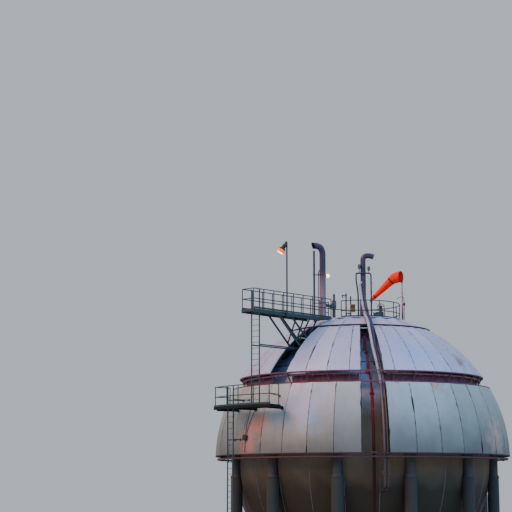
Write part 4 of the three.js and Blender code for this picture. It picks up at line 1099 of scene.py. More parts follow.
tie_inner = radius_at(LADDER_TIE, SHELL_R) - 0.02
for side in (-LADDER_HALF, LADDER_HALF):
    ends = [at(BRIDGE_AZ, r, LADDER_TIE, side) for r in (tie_inner, LADDER_R)]
    section(part, *ends, [(0, 0, 0.05, 0.008), (0, -0.03, 0.008, 0.06)])
piece("upper_ladder_steel", part, teal_enamel, ["upper_ladder"])

# Landing. A steel grating floor in a curved channel frame, on three beams that
# reach back to the cladding's ribs. The lower ladder comes up through its hatch,
# and the upper one starts near its other end.
LANDING_AZ = (-58, -30)
LANDING_R = (8.25, 9.25)
FLOOR_THICK = 0.06
HATCH_R = (8.48, 9.15)
HATCH_HALF = 0.32
BEARING_PITCH = 0.06
BEARING = (0.006, 0.036)
CROSS_ROD = (0.008, 0.01)
BEAM_AZ = (-57, -45, -31.5)
BEAM_LOW = 0.13
BEAM_OUTER_R = LANDING_R[1] - 0.12
RAIL_MIDDLE = 0.55
RAILS = (RAIL_HIGH - 0.02, (RAIL_MIDDLE, RAIL_HIGH - RAIL_R))
# The grating is drawn dark: painted shade of its underside, seen from below.
grating_zinc = painted_steel(
    "weathered zinc on steel grating, darkened as painted shade", "3a4643", "2f3a39", "222a2a", "5e4434",
    rusting=0.45, rough=0.6, metal=0.4)
# The landing's steel is a darker copy of the railings' teal: painted shade.
landing_enamel_and_shade = painted_steel(
    "green enamel on landing steel, darkened as painted shade", "0a1817", "101f1e", "0a1212", "34271f", rusting=0.2, rough=0.7)
chalked(landing_enamel_and_shade)


def channel_edge(part, azimuths, radius, low, high, lip, thick=0.008):
    """A curved channel on edge: its web at one radius, with two short flanges."""
    web, tip = radius + math.copysign(thick, lip), radius + lip
    plate_patch(part, azimuths, [
        (radius, low), (tip, low), (tip, low + thick), (web, low + thick),
        (web, high - thick), (tip, high - thick), (tip, high), (radius, high)])


def crosswise(part, azimuth, radius, height, half, width, depth):
    """A level flat bar along the tangent, as long to the left as to the right."""
    bar(part, at(azimuth, radius, height, -half), at(azimuth, radius, height, half), width, depth)


part = bmesh.new()
low, high = LANDING_FLOOR - FLOOR_THICK, LANDING_FLOOR
curve = steps(*LANDING_AZ, 28)
channel_edge(part, curve, LANDING_R[1], low - 0.06, high + 0.02, -0.05)
channel_edge(part, curve, LANDING_R[0], low - 0.06, high + 0.02, 0.05)
for azimuth in (LANDING_AZ[0] + 0.03, LANDING_AZ[1] - 0.03):
    radial(part, azimuth, (LANDING_R[0] + 0.01, LANDING_R[1] - 0.01), (low + high) / 2 - 0.02, 0.008, 0.14)
for side in (-HATCH_HALF, HATCH_HALF):
    radial(part, LOWER_LADDER_AZ, HATCH_R, low + 0.03, 0.008, 0.08, side)
for radius in HATCH_R:
    crosswise(part, LOWER_LADDER_AZ, radius, low + 0.03, HATCH_HALF, 0.008, 0.08)
inner = radius_at(low - BEAM_LOW, CLAD_R) + 0.02
for azimuth in BEAM_AZ:
    section(part, at(azimuth, inner, low), at(azimuth, BEAM_OUTER_R, low), [
        (0, 0.004, 0.07, 0.008), (0, 0.004 - BEAM_LOW, 0.07, 0.008), (0, -BEAM_LOW / 2, 0.008, BEAM_LOW)])
    crosswise(part, azimuth, inner, low - BEAM_LOW / 2, 0.07, 0.014, BEAM_LOW + 0.06)
piece("landing_frame", part, landing_enamel_and_shade, ["landing"])


def in_hatch(azimuth, radius):
    turn = math.radians(azimuth - LOWER_LADDER_AZ)
    ahead, side = radius * math.cos(turn), radius * math.sin(turn)
    return HATCH_R[0] < ahead < HATCH_R[1] and abs(side) < HATCH_HALF


part = bmesh.new()
pitch = math.degrees(BEARING_PITCH / LANDING_R[1])
count = int((LANDING_AZ[1] - LANDING_AZ[0]) / pitch)
for azimuth in steps(LANDING_AZ[0] + 0.3, LANDING_AZ[1] - 0.3, count):
    stops = [LANDING_R[0] + 0.012, LANDING_R[1] - 0.012]
    if in_hatch(azimuth, 8.8):
        turn = math.cos(math.radians(azimuth - LOWER_LADDER_AZ))
        stops[1:1] = [r / turn for r in HATCH_R]
    for span in zip(stops[::2], stops[1::2]):
        radial(part, azimuth, span, high - BEARING[1] / 2, *BEARING)
run = steps(*LANDING_AZ, 84)
for radius in steps(LANDING_R[0] + 0.1, LANDING_R[1] - 0.1, 8):
    for a, b in zip(run, run[1:]):
        if not in_hatch((a + b) / 2, radius):
            bar(part, at(a, radius, high - 0.006), at(b, radius, high - 0.006), *CROSS_ROD)
piece("landing_grating", part, grating_zinc)

part = bmesh.new()
edge, inner_edge = LANDING_R[1] - 0.06, LANDING_R[0] + 0.06
first, last = LANDING_AZ[0] + 0.6, LANDING_AZ[1] - 0.6
ends = [at(a, inner_edge, LANDING_FLOOR) for a in (first, last)]
feet, path = ([at(a, edge, LANDING_FLOOR) for a in turns] for turns in (
    (first, -50, -44, -37, last), steps(first, last, 24)))
railing(part, feet + ends, ends[:1] + path + ends[1:], *RAILS)
kick_plate(part, curve, LANDING_R[1] - 0.03, LANDING_FLOOR + 0.02)
piece("landing_railing_tubes", part, teal_enamel, ["landing_railing"])

# Bridge. Grating on two channel stringers, from the head of the upper ladder to
# the crown. Slanted struts carry it from the shell through the open bay.
BRIDGE_OUTER_R = 9.2
BRIDGE_HALF = 0.45
BRIDGE_HATCH_R = (8.52, 9.13)
BRIDGE_HATCH_HALF = 0.33
STRINGER_R = (4.0, BRIDGE_OUTER_R - 0.005)
STRINGER_SIDE = 0.44
STRUT_SIDE = 0.345
STRUTS = ((7.27, 4.66, 5.2), (6.25, 4.08, 5.69))
BRACE_SIDE = 0.29
BRACES = ((5.77, 6.22, 5.1), (4.87, 6.39, 4.02))
RAIL_SIDE = BRIDGE_HALF - 0.04


def on_bridge(radius, height, side=0.0):
    return at(BRIDGE_AZ, radius, height, side)


def into_shell(start, toward):
    """Where a line from a point outside first meets the shell, in steps of 10 mm."""
    toward = toward.normalized()
    return next(p for p in (start + toward * 0.01 * k for k in range(600)) if (p - MIDDLE).length < SHELL_R)


bridge_side = sideways(BRIDGE_AZ)
crown_edge = radius_at(BRIDGE_FLOOR - FLOOR_THICK, CLAD_R) + 0.03
part = bmesh.new()
low, high = BRIDGE_FLOOR - FLOOR_THICK, BRIDGE_FLOOR
for side in (-1, 1):
    for radii, height, width, depth, offset in (
            ((crown_edge, BRIDGE_OUTER_R), high - 0.03, 0.01, 0.08, BRIDGE_HALF - 0.006),
            (STRINGER_R, low - 0.05, 0.01, 0.15, STRINGER_SIDE),
            (STRINGER_R, low - 0.12, 0.066, 0.01, STRINGER_SIDE - 0.028),
            (STRINGER_R, low + 0.015, 0.066, 0.01, STRINGER_SIDE - 0.028)):
        radial(part, BRIDGE_AZ, radii, height, width, depth, side * offset)
    for top_r, foot_r, foot_h in STRUTS:
        head = on_bridge(top_r, low - 0.03, side * STRUT_SIDE)
        foot = into_shell(head, on_bridge(foot_r, foot_h, side * STRUT_SIDE) - head)
        section(part, head, foot, [(0, 0, 0.06, 0.008), (-0.03, 0, 0.008, 0.08), (0.03, 0, 0.008, 0.08)])
        bar(part, foot - bridge_side * 0.12, foot + bridge_side * 0.12, 0.2, 0.014, foot - MIDDLE)
# Light braces lean back from the struts to the stringers, bolted to gusset plates.
for side in (-BRACE_SIDE, BRACE_SIDE):
    for low_r, low_h, top_r in BRACES:
        foot, head = on_bridge(low_r, low_h, side), on_bridge(top_r, low - 0.01, side)
        section(part, foot, head, [(0, 0, 0.01, 0.08), (-0.03, 0, 0.07, 0.01)])
        plate_foot = on_bridge(low_r, low_h - 0.11, side * 1.08)
        bar(part, plate_foot, plate_foot + UP * 0.24, 0.012, 0.17)
crosswise(part, BRIDGE_AZ, BRIDGE_OUTER_R, high - 0.06, BRIDGE_HALF, 0.01, 0.16)
for radius in steps(4.3, 8.3, 5) + list(BRIDGE_HATCH_R):
    crosswise(part, BRIDGE_AZ, radius, low - 0.01, 0.43, 0.05, 0.06)
for side in (-BRIDGE_HATCH_HALF, BRIDGE_HATCH_HALF):
    radial(part, BRIDGE_AZ, BRIDGE_HATCH_R, low + 0.02, 0.008, 0.08, side)
piece("bridge_frame", part, teal_enamel, ["bridge"])
part = bmesh.new()
count = int((BRIDGE_OUTER_R - crown_edge) / BEARING_PITCH)
for radius in steps(crown_edge + 0.04, BRIDGE_OUTER_R - 0.03, count):
    inside = BRIDGE_HATCH_R[0] < radius < BRIDGE_HATCH_R[1]
    stops = [-STRINGER_SIDE, STRINGER_SIDE]
    if inside:
        stops[1:1] = [-BRIDGE_HATCH_HALF, BRIDGE_HATCH_HALF]
    for a, b in zip(stops[::2], stops[1::2]):
        level = high - BEARING[1] / 2
        bar(part, on_bridge(radius, level, a), on_bridge(radius, level, b), *BEARING)
for side in steps(-0.4, 0.4, 8):
    stop = BRIDGE_HATCH_R[0] if abs(side) < BRIDGE_HATCH_HALF else BRIDGE_OUTER_R
    radial(part, BRIDGE_AZ, (crown_edge, stop), high - 0.006, *CROSS_ROD, side)
piece("bridge_grating", part, grating_zinc)

part = bmesh.new()
first, last = 3.0, BRIDGE_OUTER_R - 0.03
for side in (-RAIL_SIDE, RAIL_SIDE):
    radial(part, BRIDGE_AZ, (first, last), BRIDGE_FLOOR + 0.02 + KICK_HIGH / 2, 0.006, KICK_HIGH, side * 1.06)
way = [(first, -RAIL_SIDE), (last - 0.06, -RAIL_SIDE), (last, 0.06 - RAIL_SIDE)]
way += [(r, -s) for r, s in way[::-1]]
stands = [(r, s) for s in (-RAIL_SIDE, RAIL_SIDE) for r in steps(first, last, 8)]
feet, path = ([on_bridge(r, BRIDGE_FLOOR, s) for r, s in spots] for spots in (stands, way))
railing(part, feet, path, *RAILS)
piece("bridge_railing_tubes", part, teal_enamel, ["bridge_railing"])

# Vent stack. A wide pipe with a turned-down mouth stands at the crown's left edge,
# clamped to a thinner rod, with a conduit and a small lit lamp on its side.
STACK_AT = Vector((-2.07, -1.49, 0))
ROD_AT = Vector((-2.545, -1.6, 0))
STACK_R = 0.175
STACK_MOUTH = ((11.3, 0, 0), (11.62, 0, 0), (11.86, -0.1, -0.06), (11.93, -0.3, -0.18), (11.93, -0.5, -0.3))
STACK_LAMP = 10.23
ROD_WIDE = 0.055
ROD_TOP = 11.66
CONDUIT_X = -0.235
VENT_R = 0.15
VENT_WALL = 0.012
RIGHT = Vector((1, 0, 0))
BACK = Vector((0, 1, 0))


def above(place, height, dx=0.0, dy=0.0):
    """A point over a place on the crown, by its height from the sphere's centre."""
    return Vector((place.x + dx, place.y + dy, CENTRE_Z + height))


def fixing(part, place, start, end, width, depth, reference=UP):
    """A small bar between two spots over a place, each as above() takes it."""
    bar(part, above(place, *start), above(place, *end), width, depth, reference)


def open_pipe(part, points, radius, wall, inside, slant=0.0):
    """A pipe whose last end is open: its skin turns in over the rim and runs back down.
    A slanted mouth has its upper lip further out than its lower one."""
    tip = (points[-1] - points[-2]).normalized()

    def ring(i, across, wide):
        spots = [points[i] + (across[0] * c + across[1] * s) * wide for c, s in circle(28)]
        if i == len(points) - 1:
            spots = [p + tip * (p.z - points[i].z) * slant for p in spots]
        return spots

    ways = list(enumerate(frames(points)))
    rings = [ring(i, across, radius) for i, across in ways]
    rings += [ring(i, across, radius - wall) for i, across in ways[:-inside - 1:-1]]
    loft(part, rings)


def weld_beads(part, place, heights, radius):
    """Low beads round a stack, where its lengths of pipe are welded together."""
    for height in heights:
        turned(part, above(place, height), [(0, radius), (0.006, radius + 0.006), (0.02, radius)], 28)


part = bmesh.new()
bend = rounded([above(STACK_AT, *spot) for spot in STACK_MOUTH], 2)
open_pipe(part, [above(STACK_AT, 7.62)] + bend, STACK_R, VENT_WALL, 5, slant=0.55)
flange(part, above(STACK_AT, 7.93), STACK_R, 0.23, 0.06, 12)
weld_beads(part, STACK_AT, (9.1, 10.9), STACK_R)
stack_paint = painted_steel(
    "dark blue enamel on vent stack", "2c2c48", "26263f", "11131d", "4a3832", rusting=0.15, rough=0.5)
# The lower half of the stack is drawn a warm grey.
stain_and_shade_by_height(stack_paint, "8d8283", 10.8, 8.8, 0.62)
piece("vent_stack_pipe", part, stack_paint, ["vent_stack"])
part = bmesh.new()
sweep(part, [above(ROD_AT, 7.32), above(ROD_AT, ROD_TOP)], ROD_WIDE, 16)
turned(part, above(ROD_AT, ROD_TOP), [(0, ROD_WIDE), (0.014, 0.03), (0.02, 0.01)], 16)
for height in (8.7, 10.3):
    stack, rod = above(STACK_AT, height), above(ROD_AT, height)
    clamp_band(part, stack, UP, STACK_R, 0.06)
    clamp_band(part, rod, UP, ROD_WIDE, 0.06)
    toward = (rod - stack).normalized()
    bar(part, stack + toward * STACK_R, rod - toward * ROD_WIDE, 0.008, 0.05)
piece("vent_stack_rod", part, dark_vent_paint)
part = bmesh.new()
conduit = [above(STACK_AT, h, CONDUIT_X, -0.02) for h in (7.75, 8.0, 9.4, 10.3, 10.5)]
sweep(part, rounded(conduit + [above(STACK_AT, 10.58, -0.16, -0.02)], 2), 0.03, 10)
fixing(part, STACK_AT, (10.34, CONDUIT_X, -0.04), (10.46, CONDUIT_X, -0.04), 0.08, 0.08, BACK)
for height in (8.25, 9.5):
    fixing(part, STACK_AT, (height, CONDUIT_X, -0.02), (height, -0.15, -0.02), 0.03, 0.01)
piece("vent_stack_conduit", part, bracket_steel)


def lamp_glass(name, tint, bright, glow):
    """Moulded glass over a lit bulb: a smooth gloss in the lamp's own colour, mottled
    lighter and darker by its moulding, and glowing."""
    material, tree, shader, place = new_material(name)
    ribs, tone = clouded(tree, place, tint, bright, 9.0, 2)
    relief = add(tree, "Bump", {"Height": ribs, "Distance": 0.004, "Strength": 0.4})
    plug(shader, {"Base Color": tone, "Emission Color": tone, "Emission Strength": glow,
                  "Roughness": 0.12, "Normal": relief})
    return material


white_glass = lamp_glass("lit clear lamp glass", "ffb04c", "fff0cc", 4.0)
amber_glass = lamp_glass("lit amber lamp glass", "cc2a00", "ff8a20", 0.8)
lamp_enamel = painted_steel(
    "black stove enamel on lamp housings", "14171c", "1e2126", "101114", "40302a", rusting=0.2, rough=0.5)
lamp_side = Vector((1, -0.35, 0)).normalized()
lamp_root = above(STACK_AT, STACK_LAMP) + lamp_side * STACK_R
part = bmesh.new()
turned(part, lamp_root, [
    (0, 0.05), (0.015, 0.05), (0.02, 0.03), (0.04, 0.03), (0.045, 0.075), (0.065, 0.08),
    (0.07, 0.06)], 20, lamp_side)
piece("stack_lamp_base", part, lamp_enamel)
part = bmesh.new()
turned(part, lamp_root + lamp_side * 0.065, [
    (0, 0.07), (0.03, 0.1), (0.075, 0.115), (0.12, 0.1), (0.155, 0.066), (0.17, 0.02)], 24, lamp_side)
piece("stack_lamp_glass", part, white_glass)

# Centre vent. The same pipe over the middle bay, its mouth cut square, with both
# vent lines led into its side.
VENT_MOUTH = ((10.85, 0), (11.28, 0), (11.39, 0.14), (11.4, 0.36), (11.32, 0.6))
part = bmesh.new()
bend = rounded([above(VENT_AT, height, dx) for height, dx in VENT_MOUTH], 2)
open_pipe(part, [above(VENT_AT, 7.81)] + bend, VENT_R, VENT_WALL, 5)
flange(part, above(VENT_AT, 7.89), VENT_R, 0.23, 0.06, 12)
weld_beads(part, VENT_AT, (9.2, 10.75), VENT_R)
piece("centre_vent_pipe", part, dark_vent_paint, ["centre_vent"])

# Floodlights. A bent pipe is clamped to the front of the centre vent. It carries
# two finned lamps on short stems and runs down to a drain box on the right; a
# second conduit goes down on the left.
FRONT = -VENT_R - 0.045
BAR_HEIGHT = 10.38
CONDUIT_R = 0.043
DROP_AT = 0.44
LAMP_TILT = math.radians(12)
LAMP_RINGS = (
    (-0.07, 0.09, 0.2), (-0.03, 0.13, 0.25), (0.045, 0.16, 0.28), (0.07, 0.17, 0.29), (0.075, 0.16, 0.28))
GLASS_RINGS = ((0.074, 0.13, 0.25), (0.082, 0.1222, 0.235), (0.088, 0.078, 0.15))


def by_vent(height, dx, dy=0.0):
    """A point in the plane of the crossbar, just before the centre vent."""
    return above(VENT_AT, height, dx, FRONT + dy)


part = bmesh.new()
right = ((BAR_HEIGHT, -0.4), (BAR_HEIGHT, 0.2), (BAR_HEIGHT - 0.01, DROP_AT - 0.01),
         (BAR_HEIGHT - 0.3, DROP_AT), (CROWN_TOP + 0.01, DROP_AT))
left = ((BAR_HEIGHT, -0.25), (BAR_HEIGHT, -0.38), (BAR_HEIGHT - 0.14, -0.395), (9.95, -0.395),
        (9.35, -0.305, 0.06), (9.0, -0.29, 0.14), (CROWN_TOP + 0.01, -0.29, 0.14))
for path in (right, left):
    sweep(part, rounded([by_vent(*spot) for spot in path], 3), CONDUIT_R, 14)
bar(part, by_vent(8.72, DROP_AT), by_vent(8.94, DROP_AT), 0.13, 0.12, BACK)
for height in (9.3, 9.8):
    collar(part, by_vent(height, DROP_AT), CONDUIT_R, 0.053, 0.056, edge=0.006)
bar(part, by_vent(BAR_HEIGHT, 0, -0.03), by_vent(BAR_HEIGHT, 0, 0.06), 0.1, 0.05)
for height, wide in ((BAR_HEIGHT, 0.06), (9.2, 0.05), (9.75, 0.05)):
    clamp_band(part, above(VENT_AT, height), UP, VENT_R, wide)
piece("floodlight_pipework", part, dark_vent_paint, ["floodlight_bar"])
part, glass = bmesh.new(), bmesh.new()
aim = Vector((0, -math.cos(LAMP_TILT), -math.sin(LAMP_TILT)))
rise = Vector((0, aim.z, -aim.y))
for dx, over_bar in ((-0.215, 0.38), (0.32, 0.26)):
    seat = by_vent(BAR_HEIGHT + over_bar, dx)
    sweep(part, [by_vent(BAR_HEIGHT, dx), seat - UP * 0.1], 0.02, 10)
    for mesh, rings in ((part, LAMP_RINGS), (glass, GLASS_RINGS)):
        loft(mesh, [[seat + aim * d + RIGHT * (w / 2 * c) + rise * (h / 2 * s) for c, s in circle(20)]
                    for d, w, h in rings])
    for shift in steps(-0.045, 0.045, 4):
        spot = seat - aim * 0.09 + RIGHT * shift
        bar(part, spot - rise * 0.06, spot + rise * 0.06, 0.006, 0.05, aim)
piece("floodlight_housings", part, lamp_enamel)
clear_glass, tree, shader, place = new_material("unlit toughened glass")
plug(shader, {"Base Color": clouded(tree, place, "2e3a46", "59656e", 6.0, 2)[1], "Roughness": 0.08})
piece("floodlight_glass", glass, clear_glass)

# Lamp post. A galvanised pole beside the bridge. Its lamp leans out to the left: a
# spun hood in black enamel over an amber glass bell with a clear lens.
LAMP_R = 6.71
LAMP_SIDE = BRIDGE_HALF + 0.065
LAMP_TOP = 11.54
POLE_R = 0.041
HOOD_RINGS = (
    (0, 0.04), (0.012, 0.09), (0.04, 0.104), (0.19, 0.108), (0.22, 0.1), (0.235, 0.115), (0.27, 0.15),
    (0.31, 0.186), (0.33, 0.196), (0.345, 0.196), (0.345, 0.18))
pole_zinc = painted_steel(
    "galvanised lamp pole", "323a46", "2a323c", "1f2126", "443530", rusting=0.12, rough=0.45, metal=0.4)
pole_top = on_bridge(LAMP_R, LAMP_TOP, LAMP_SIDE)
part = bmesh.new()
hook = ((0, -0.25), (0, -0.05), (-0.02, -0.03), (-0.08, -0.06), (-0.085, -0.18))
pole = [on_bridge(LAMP_R, BRIDGE_FLOOR - 0.12, LAMP_SIDE)] + [pole_top + Vector((x, 0, z)) for x, z in hook]
sweep(part, rounded(pole, 3), POLE_R, 16)
for height in (BRIDGE_FLOOR - 0.04, BRIDGE_FLOOR - 0.1):
    radial(part, BRIDGE_AZ, (LAMP_R - 0.08, LAMP_R + 0.08), height, 0.012, 0.05, BRIDGE_HALF + 0.004)
    clamp_band(part, on_bridge(LAMP_R, height, LAMP_SIDE), UP, POLE_R, 0.03)
for height in (8.9, 10.2):
    bead = [(0, POLE_R), (0.005, POLE_R + 0.006), (0.04, POLE_R)]
    turned(part, on_bridge(LAMP_R, height, LAMP_SIDE), bead, 16)
piece("lamp_post_pole", part, pole_zinc, ["lamp_post"])
hang = Vector((-0.305, 0, -0.485)).normalized()
hood_at = pole_top + Vector((-0.075, 0, -0.15))
part = bmesh.new()
turned(part, hood_at, HOOD_RINGS, 32, hang)
for k in range(8):
    fin = hang.orthogonal().normalized()
    fin.rotate(Quaternion(hang, 2 * math.pi * k / 8))
    root = hood_at + fin * 0.1
    bar(part, root + hang * 0.06, root + hang * 0.18, 0.008, 0.026, fin)
piece("lamp_post_hood", part, lamp_enamel)
for name, start, rings, finish in (
        ("bell", 0.335, [(0, 0.178), (0.03, 0.205), (0.09, 0.227), (0.15, 0.224), (0.19, 0.2)], amber_glass),
        ("lens", 0.526, [(0, 0.194), (0.024, 0.16), (0.04, 0.09), (0.045, 0.03)], white_glass)):
    part = bmesh.new()
    turned(part, hood_at + hang * start, rings, 32, hang)
    piece(f"lamp_post_{name}", part, finish)

# Valves on the crown deck: a spring relief valve blowing into the stack, a gauge
# stand with an ochre box, and a gate valve with a handwheel. Cast iron and steel,
# thickly enamelled in dark green-grey.
RELIEF_AT = Vector((-1.45, -1.0, 0))
OUTLET_R = 0.085
valve_enamel = painted_steel(
    "dark green grey enamel on castings", "33444a", "42555a", "22282c", "6b4330", rusting=0.45, rough=0.42)
part = bmesh.new()
turned(part, above(RELIEF_AT, CROWN_TOP), [
    (0, 0.15), (0.04, 0.15), (0.041, 0.09), (0.08, 0.08), (0.6, 0.08), (0.64, 0.1), (0.66, 0.1)], 28)
bolt_circle(part, above(RELIEF_AT, CROWN_TOP + 0.03), 0.12, 8, 0.016, 0.06)
flange(part, above(RELIEF_AT, 8.43), 0.08, 0.13, 0.06, 8)
turned(part, above(RELIEF_AT, 8.46), [
    (0, 0.1), (0.06, 0.125), (0.2, 0.13), (0.32, 0.125), (0.38, 0.1), (0.4, 0.13), (0.44, 0.13),
    (0.45, 0.065), (0.66, 0.055), (0.7, 0.066), (0.8, 0.06), (0.83, 0.02)], 28)
outlet_from, outlet_to = above(RELIEF_AT, 8.56), above(STACK_AT, 8.62)
toward = (outlet_to - outlet_from).normalized()
sweep(part, [outlet_from, outlet_to - toward * (STACK_R - 0.02)], OUTLET_R, 20)
flange(part, outlet_from + toward * 0.22, OUTLET_R, 0.125, 0.06, 8, toward)
turned(part, outlet_to - toward * (STACK_R + 0.02), [(0, 0.1), (0.03, 0.11)], 20, toward)
piece("relief_valve_castings", part, valve_enamel, ["relief_valve"])

STAND = (Vector((-0.78, -0.7, 0)), Vector((-0.52, -0.7, 0)))
STAND_R = 0.04
STAND_ARM = ((9.22, 0.06), (9.22, -0.12), (9.27, -0.2), (9.2, -0.23))
BOX_HALF = (0.145, 0.215)
BOX_RINGS = (
    (0.0, 0.008), (0.008, 0.0), (0.115, 0.0), (0.116, 0.006), (0.12, 0.006), (0.121, -0.002),
    (0.145, -0.002), (0.15, 0.006))
gauge_face = painted_steel(
    "ochre enamel on gauge boxes", "705c30", "80703f", "443c2c", "5c3a2a", rusting=0.35, rough=0.5)
part = bmesh.new()
for place, top in zip(STAND, (9.35, 9.18)):
    sweep(part, [above(place, CROWN_TOP), above(place, top)], STAND_R, 14)
    disc(part, above(place, CROWN_TOP), 0.1, 0.012)
    turned(part, above(place, top - 0.06), [(0, 0.045), (0.05, 0.05), (0.07, 0.03)], 14)
    for height in (8.05, 8.5):
        collar(part, above(place, height), STAND_R, 0.052, 0.064, 14)
sweep(part, [above(place, 8.2) for place in STAND], 0.028, 12)
sweep(part, rounded([above(STAND[0], *spot) for spot in STAND_ARM], 2), 0.03, 12)
turned(part, above(STAND[0], 9.14, -0.17), [(0, 0.05), (0.01, 0.07), (0.05, 0.07), (0.055, 0.05)], 20, -RIGHT)
piece("gauge_stand_pipes", part, valve_enamel, ["gauge_stand"])
part = bmesh.new()
box_back = above(STAND[1], 8.51, 0.11, 0.075)
loft(part, [[box_back + Vector((x * (BOX_HALF[0] - cut), -d, z * (BOX_HALF[1] - cut))) for x, z in CORNERS]
            for d, cut in BOX_RINGS])
dial = [(0, 0.07), (0.006, 0.07), (0.008, 0.058), (0.004, 0.056)]
turned(part, box_back + Vector((0, -0.148, -0.09)), dial, 24, -BACK)
piece("gauge_box", part, gauge_face)
part = bmesh.new()
window = box_back + Vector((0, -0.148, 0.09))
bar(part, window - RIGHT * 0.09, window + RIGHT * 0.09, 0.01, 0.13)
for height in (-0.175, 0.175):
    bar(part, *(box_back + Vector((x, -0.075, height)) for x in (-0.14, -0.05)), 0.06, 0.03)
piece("gauge_box_window", part, valve_enamel)

GATE_AT = Vector((0.97, -0.6, 0))
GATE_LINE = 8.15
WHEEL_AT = Vector((1.18, -0.6, 0))
WHEEL_HEIGHT = 8.55
WHEEL_R = 0.185
WHEEL_FRONT = -0.178
part = bmesh.new()
turned(part, above(GATE_AT, CROWN_TOP), [
    (0, 0.19), (0.04, 0.19), (0.042, 0.12), (0.1, 0.11), (0.48, 0.11)], 28)
bolt_circle(part, above(GATE_AT, CROWN_TOP + 0.03), 0.155, 8, 0.018, 0.06)
sweep(part, [above(GATE_AT, GATE_LINE, -0.2), above(GATE_AT, GATE_LINE, 0.36)], [0.085, 0.09], 24)
for dx in (-0.19, 0.33):
    flange(part, above(GATE_AT, GATE_LINE, dx), 0.085, 0.14, 0.05, 8, RIGHT)
turned(part, above(WHEEL_AT, GATE_LINE), [
    (0, 0.09), (0.12, 0.085), (0.13, 0.1), (0.16, 0.1), (0.17, 0.055), (0.3, 0.045), (0.31, 0.075),
    (0.49, 0.075), (0.5, 0.05)], 24)
turned(part, above(WHEEL_AT, 8.64), [(0, 0.024), (0.12, 0.022), (0.13, 0.01)], 12)
turned(part, above(WHEEL_AT, WHEEL_HEIGHT, 0, -0.02), [
    (0, 0.06), (0.09, 0.06), (0.1, 0.04), (0.13, 0.035), (0.14, 0.02), (0.175, 0.02)], 20, -BACK)
piece("gate_valve_castings", part, valve_enamel, ["crown_valve"])


def on_wheel(turn, reach, dished=0.0):
    """A point of the handwheel, by its turn, its distance from the hub and its dishing."""
    height = WHEEL_HEIGHT + reach * math.sin(turn)
    return above(WHEEL_AT, height, reach * math.cos(turn), WHEEL_FRONT - dished)


wheel_red = painted_steel(
    "violet red enamel on handwheel", "3c1228", "4c1c36", "2c1420", "54302c", rusting=0.3, rough=0.5)
part = bmesh.new()
sweep(part, [on_wheel(2 * math.pi * i / 36, WHEEL_R) for i in range(36)], 0.02, 10, loop=True)
turned(part, on_wheel(0, 0) + BACK * 0.02, [(0, 0.055), (0.036, 0.055), (0.042, 0.035)], 20, -BACK)
for k in range(5):
    spoke = 2 * math.pi * (k + 0.25) / 5
    sweep(part, [on_wheel(spoke, 0.02), on_wheel(spoke, 0.1, -0.012), on_wheel(spoke, WHEEL_R)], 0.016, 8)
piece("gate_valve_handwheel", part, wheel_red)

# Fittings on the cladding and at the mast: a junction box with its conduits, a stay
# from the landing's rail, and a conduit hooked over beside the windsock's mast.
BOX_AZ, BOX_LATITUDE = -48.3, 7.55
LID_SCREW = 0.11
BOX_CONDUIT_R = 0.016
BOX_CONDUIT_WAY = ((0, 9.5), (0.3, 12.5), (0.9, 15.5), (1.4, 18.4))
part = bmesh.new()
out, side = out_of(BOX_AZ, BOX_LATITUDE), sideways(BOX_AZ)
tall = out.cross(side).normalized()
seat = on_sphere(BOX_AZ, BOX_LATITUDE, CLAD_R + 0.01)
for d0, d1, half in ((0, 0.1, 0.13), (0.1, 0.125, 0.14)):
    loft(part, [[seat + out * d + (side * x + tall * y) * half for x, y in CORNERS] for d in (d0, d1)])
for x, y in CORNERS:
    disc(part, seat + out * 0.125 + (side * x + tall * y) * LID_SCREW, 0.012, 0.008, 6, out)
routes = [[on_sphere(BOX_AZ, BOX_LATITUDE - 0.8, CLAD_R + 0.06)]]
routes[0] += [on_sphere(BOX_AZ, latitude, CLAD_R + 0.03) for latitude in (6, 4, 2.2)]
for shift in (-0.05, 0.05):
    routes.append([on_sphere(BOX_AZ, BOX_LATITUDE + 0.8, CLAD_R + 0.06, shift)])
    routes[-1] += [on_sphere(BOX_AZ + turn, latitude, CLAD_R + 0.03, shift * (1 + k))
                   for k, (turn, latitude) in enumerate(BOX_CONDUIT_WAY)]
for route in routes:
    sweep(part, rounded(route, 2), BOX_CONDUIT_R, 8)
piece("junction_box", part, lamp_enamel)

part = bmesh.new()
stay_foot = at(-34.2, radius_at(3.22, CLAD_R) + 0.01, 3.22)
stay_head = at(LANDING_AZ[1] - 0.6, LANDING_R[1] - 0.06, LANDING_FLOOR + RAIL_MIDDLE)
sweep(part, [stay_head, stay_foot], 0.018, 10)
out = (stay_foot - MIDDLE).normalized()
turned(part, stay_foot - out * 0.01, [(0, 0.07), (0.012, 0.07), (0.014, 0.035), (0.05, 0.03)], 16, out)
piece("landing_stay", part, teal_enamel)

MAST_AT = Vector((2.41, 0, 0))
MAST_TOP = 10.0
MAST_HOOK = ((CROWN_TOP, 0.1), (9.05, 0.1), (9.22, 0.06), (9.2, -0.16), (9.08, -0.32))
mast_paint = painted_steel(
    "faded pink primer on mast", "b08890", "bd9aa0", "785a60", "8a4a42", rusting=0.3, rough=0.6)
stain_and_shade_by_height(mast_paint, "5a1c2a", 9.0, 8.4, 0.85)
part = bmesh.new()
sweep(part, rounded([above(MAST_AT, h, dx, -0.09) for h, dx in MAST_HOOK], 3), 0.016, 10)
fixing(part, MAST_AT, (8.7, 0.1, -0.1), (8.86, 0.1, -0.1), 0.11, 0.08, BACK)
for height in (8.1, 8.5):
    fixing(part, MAST_AT, (height, 0.12, -0.085), (height, -0.03, -0.04), 0.03, 0.01)
piece("mast_conduit", part, lamp_enamel)

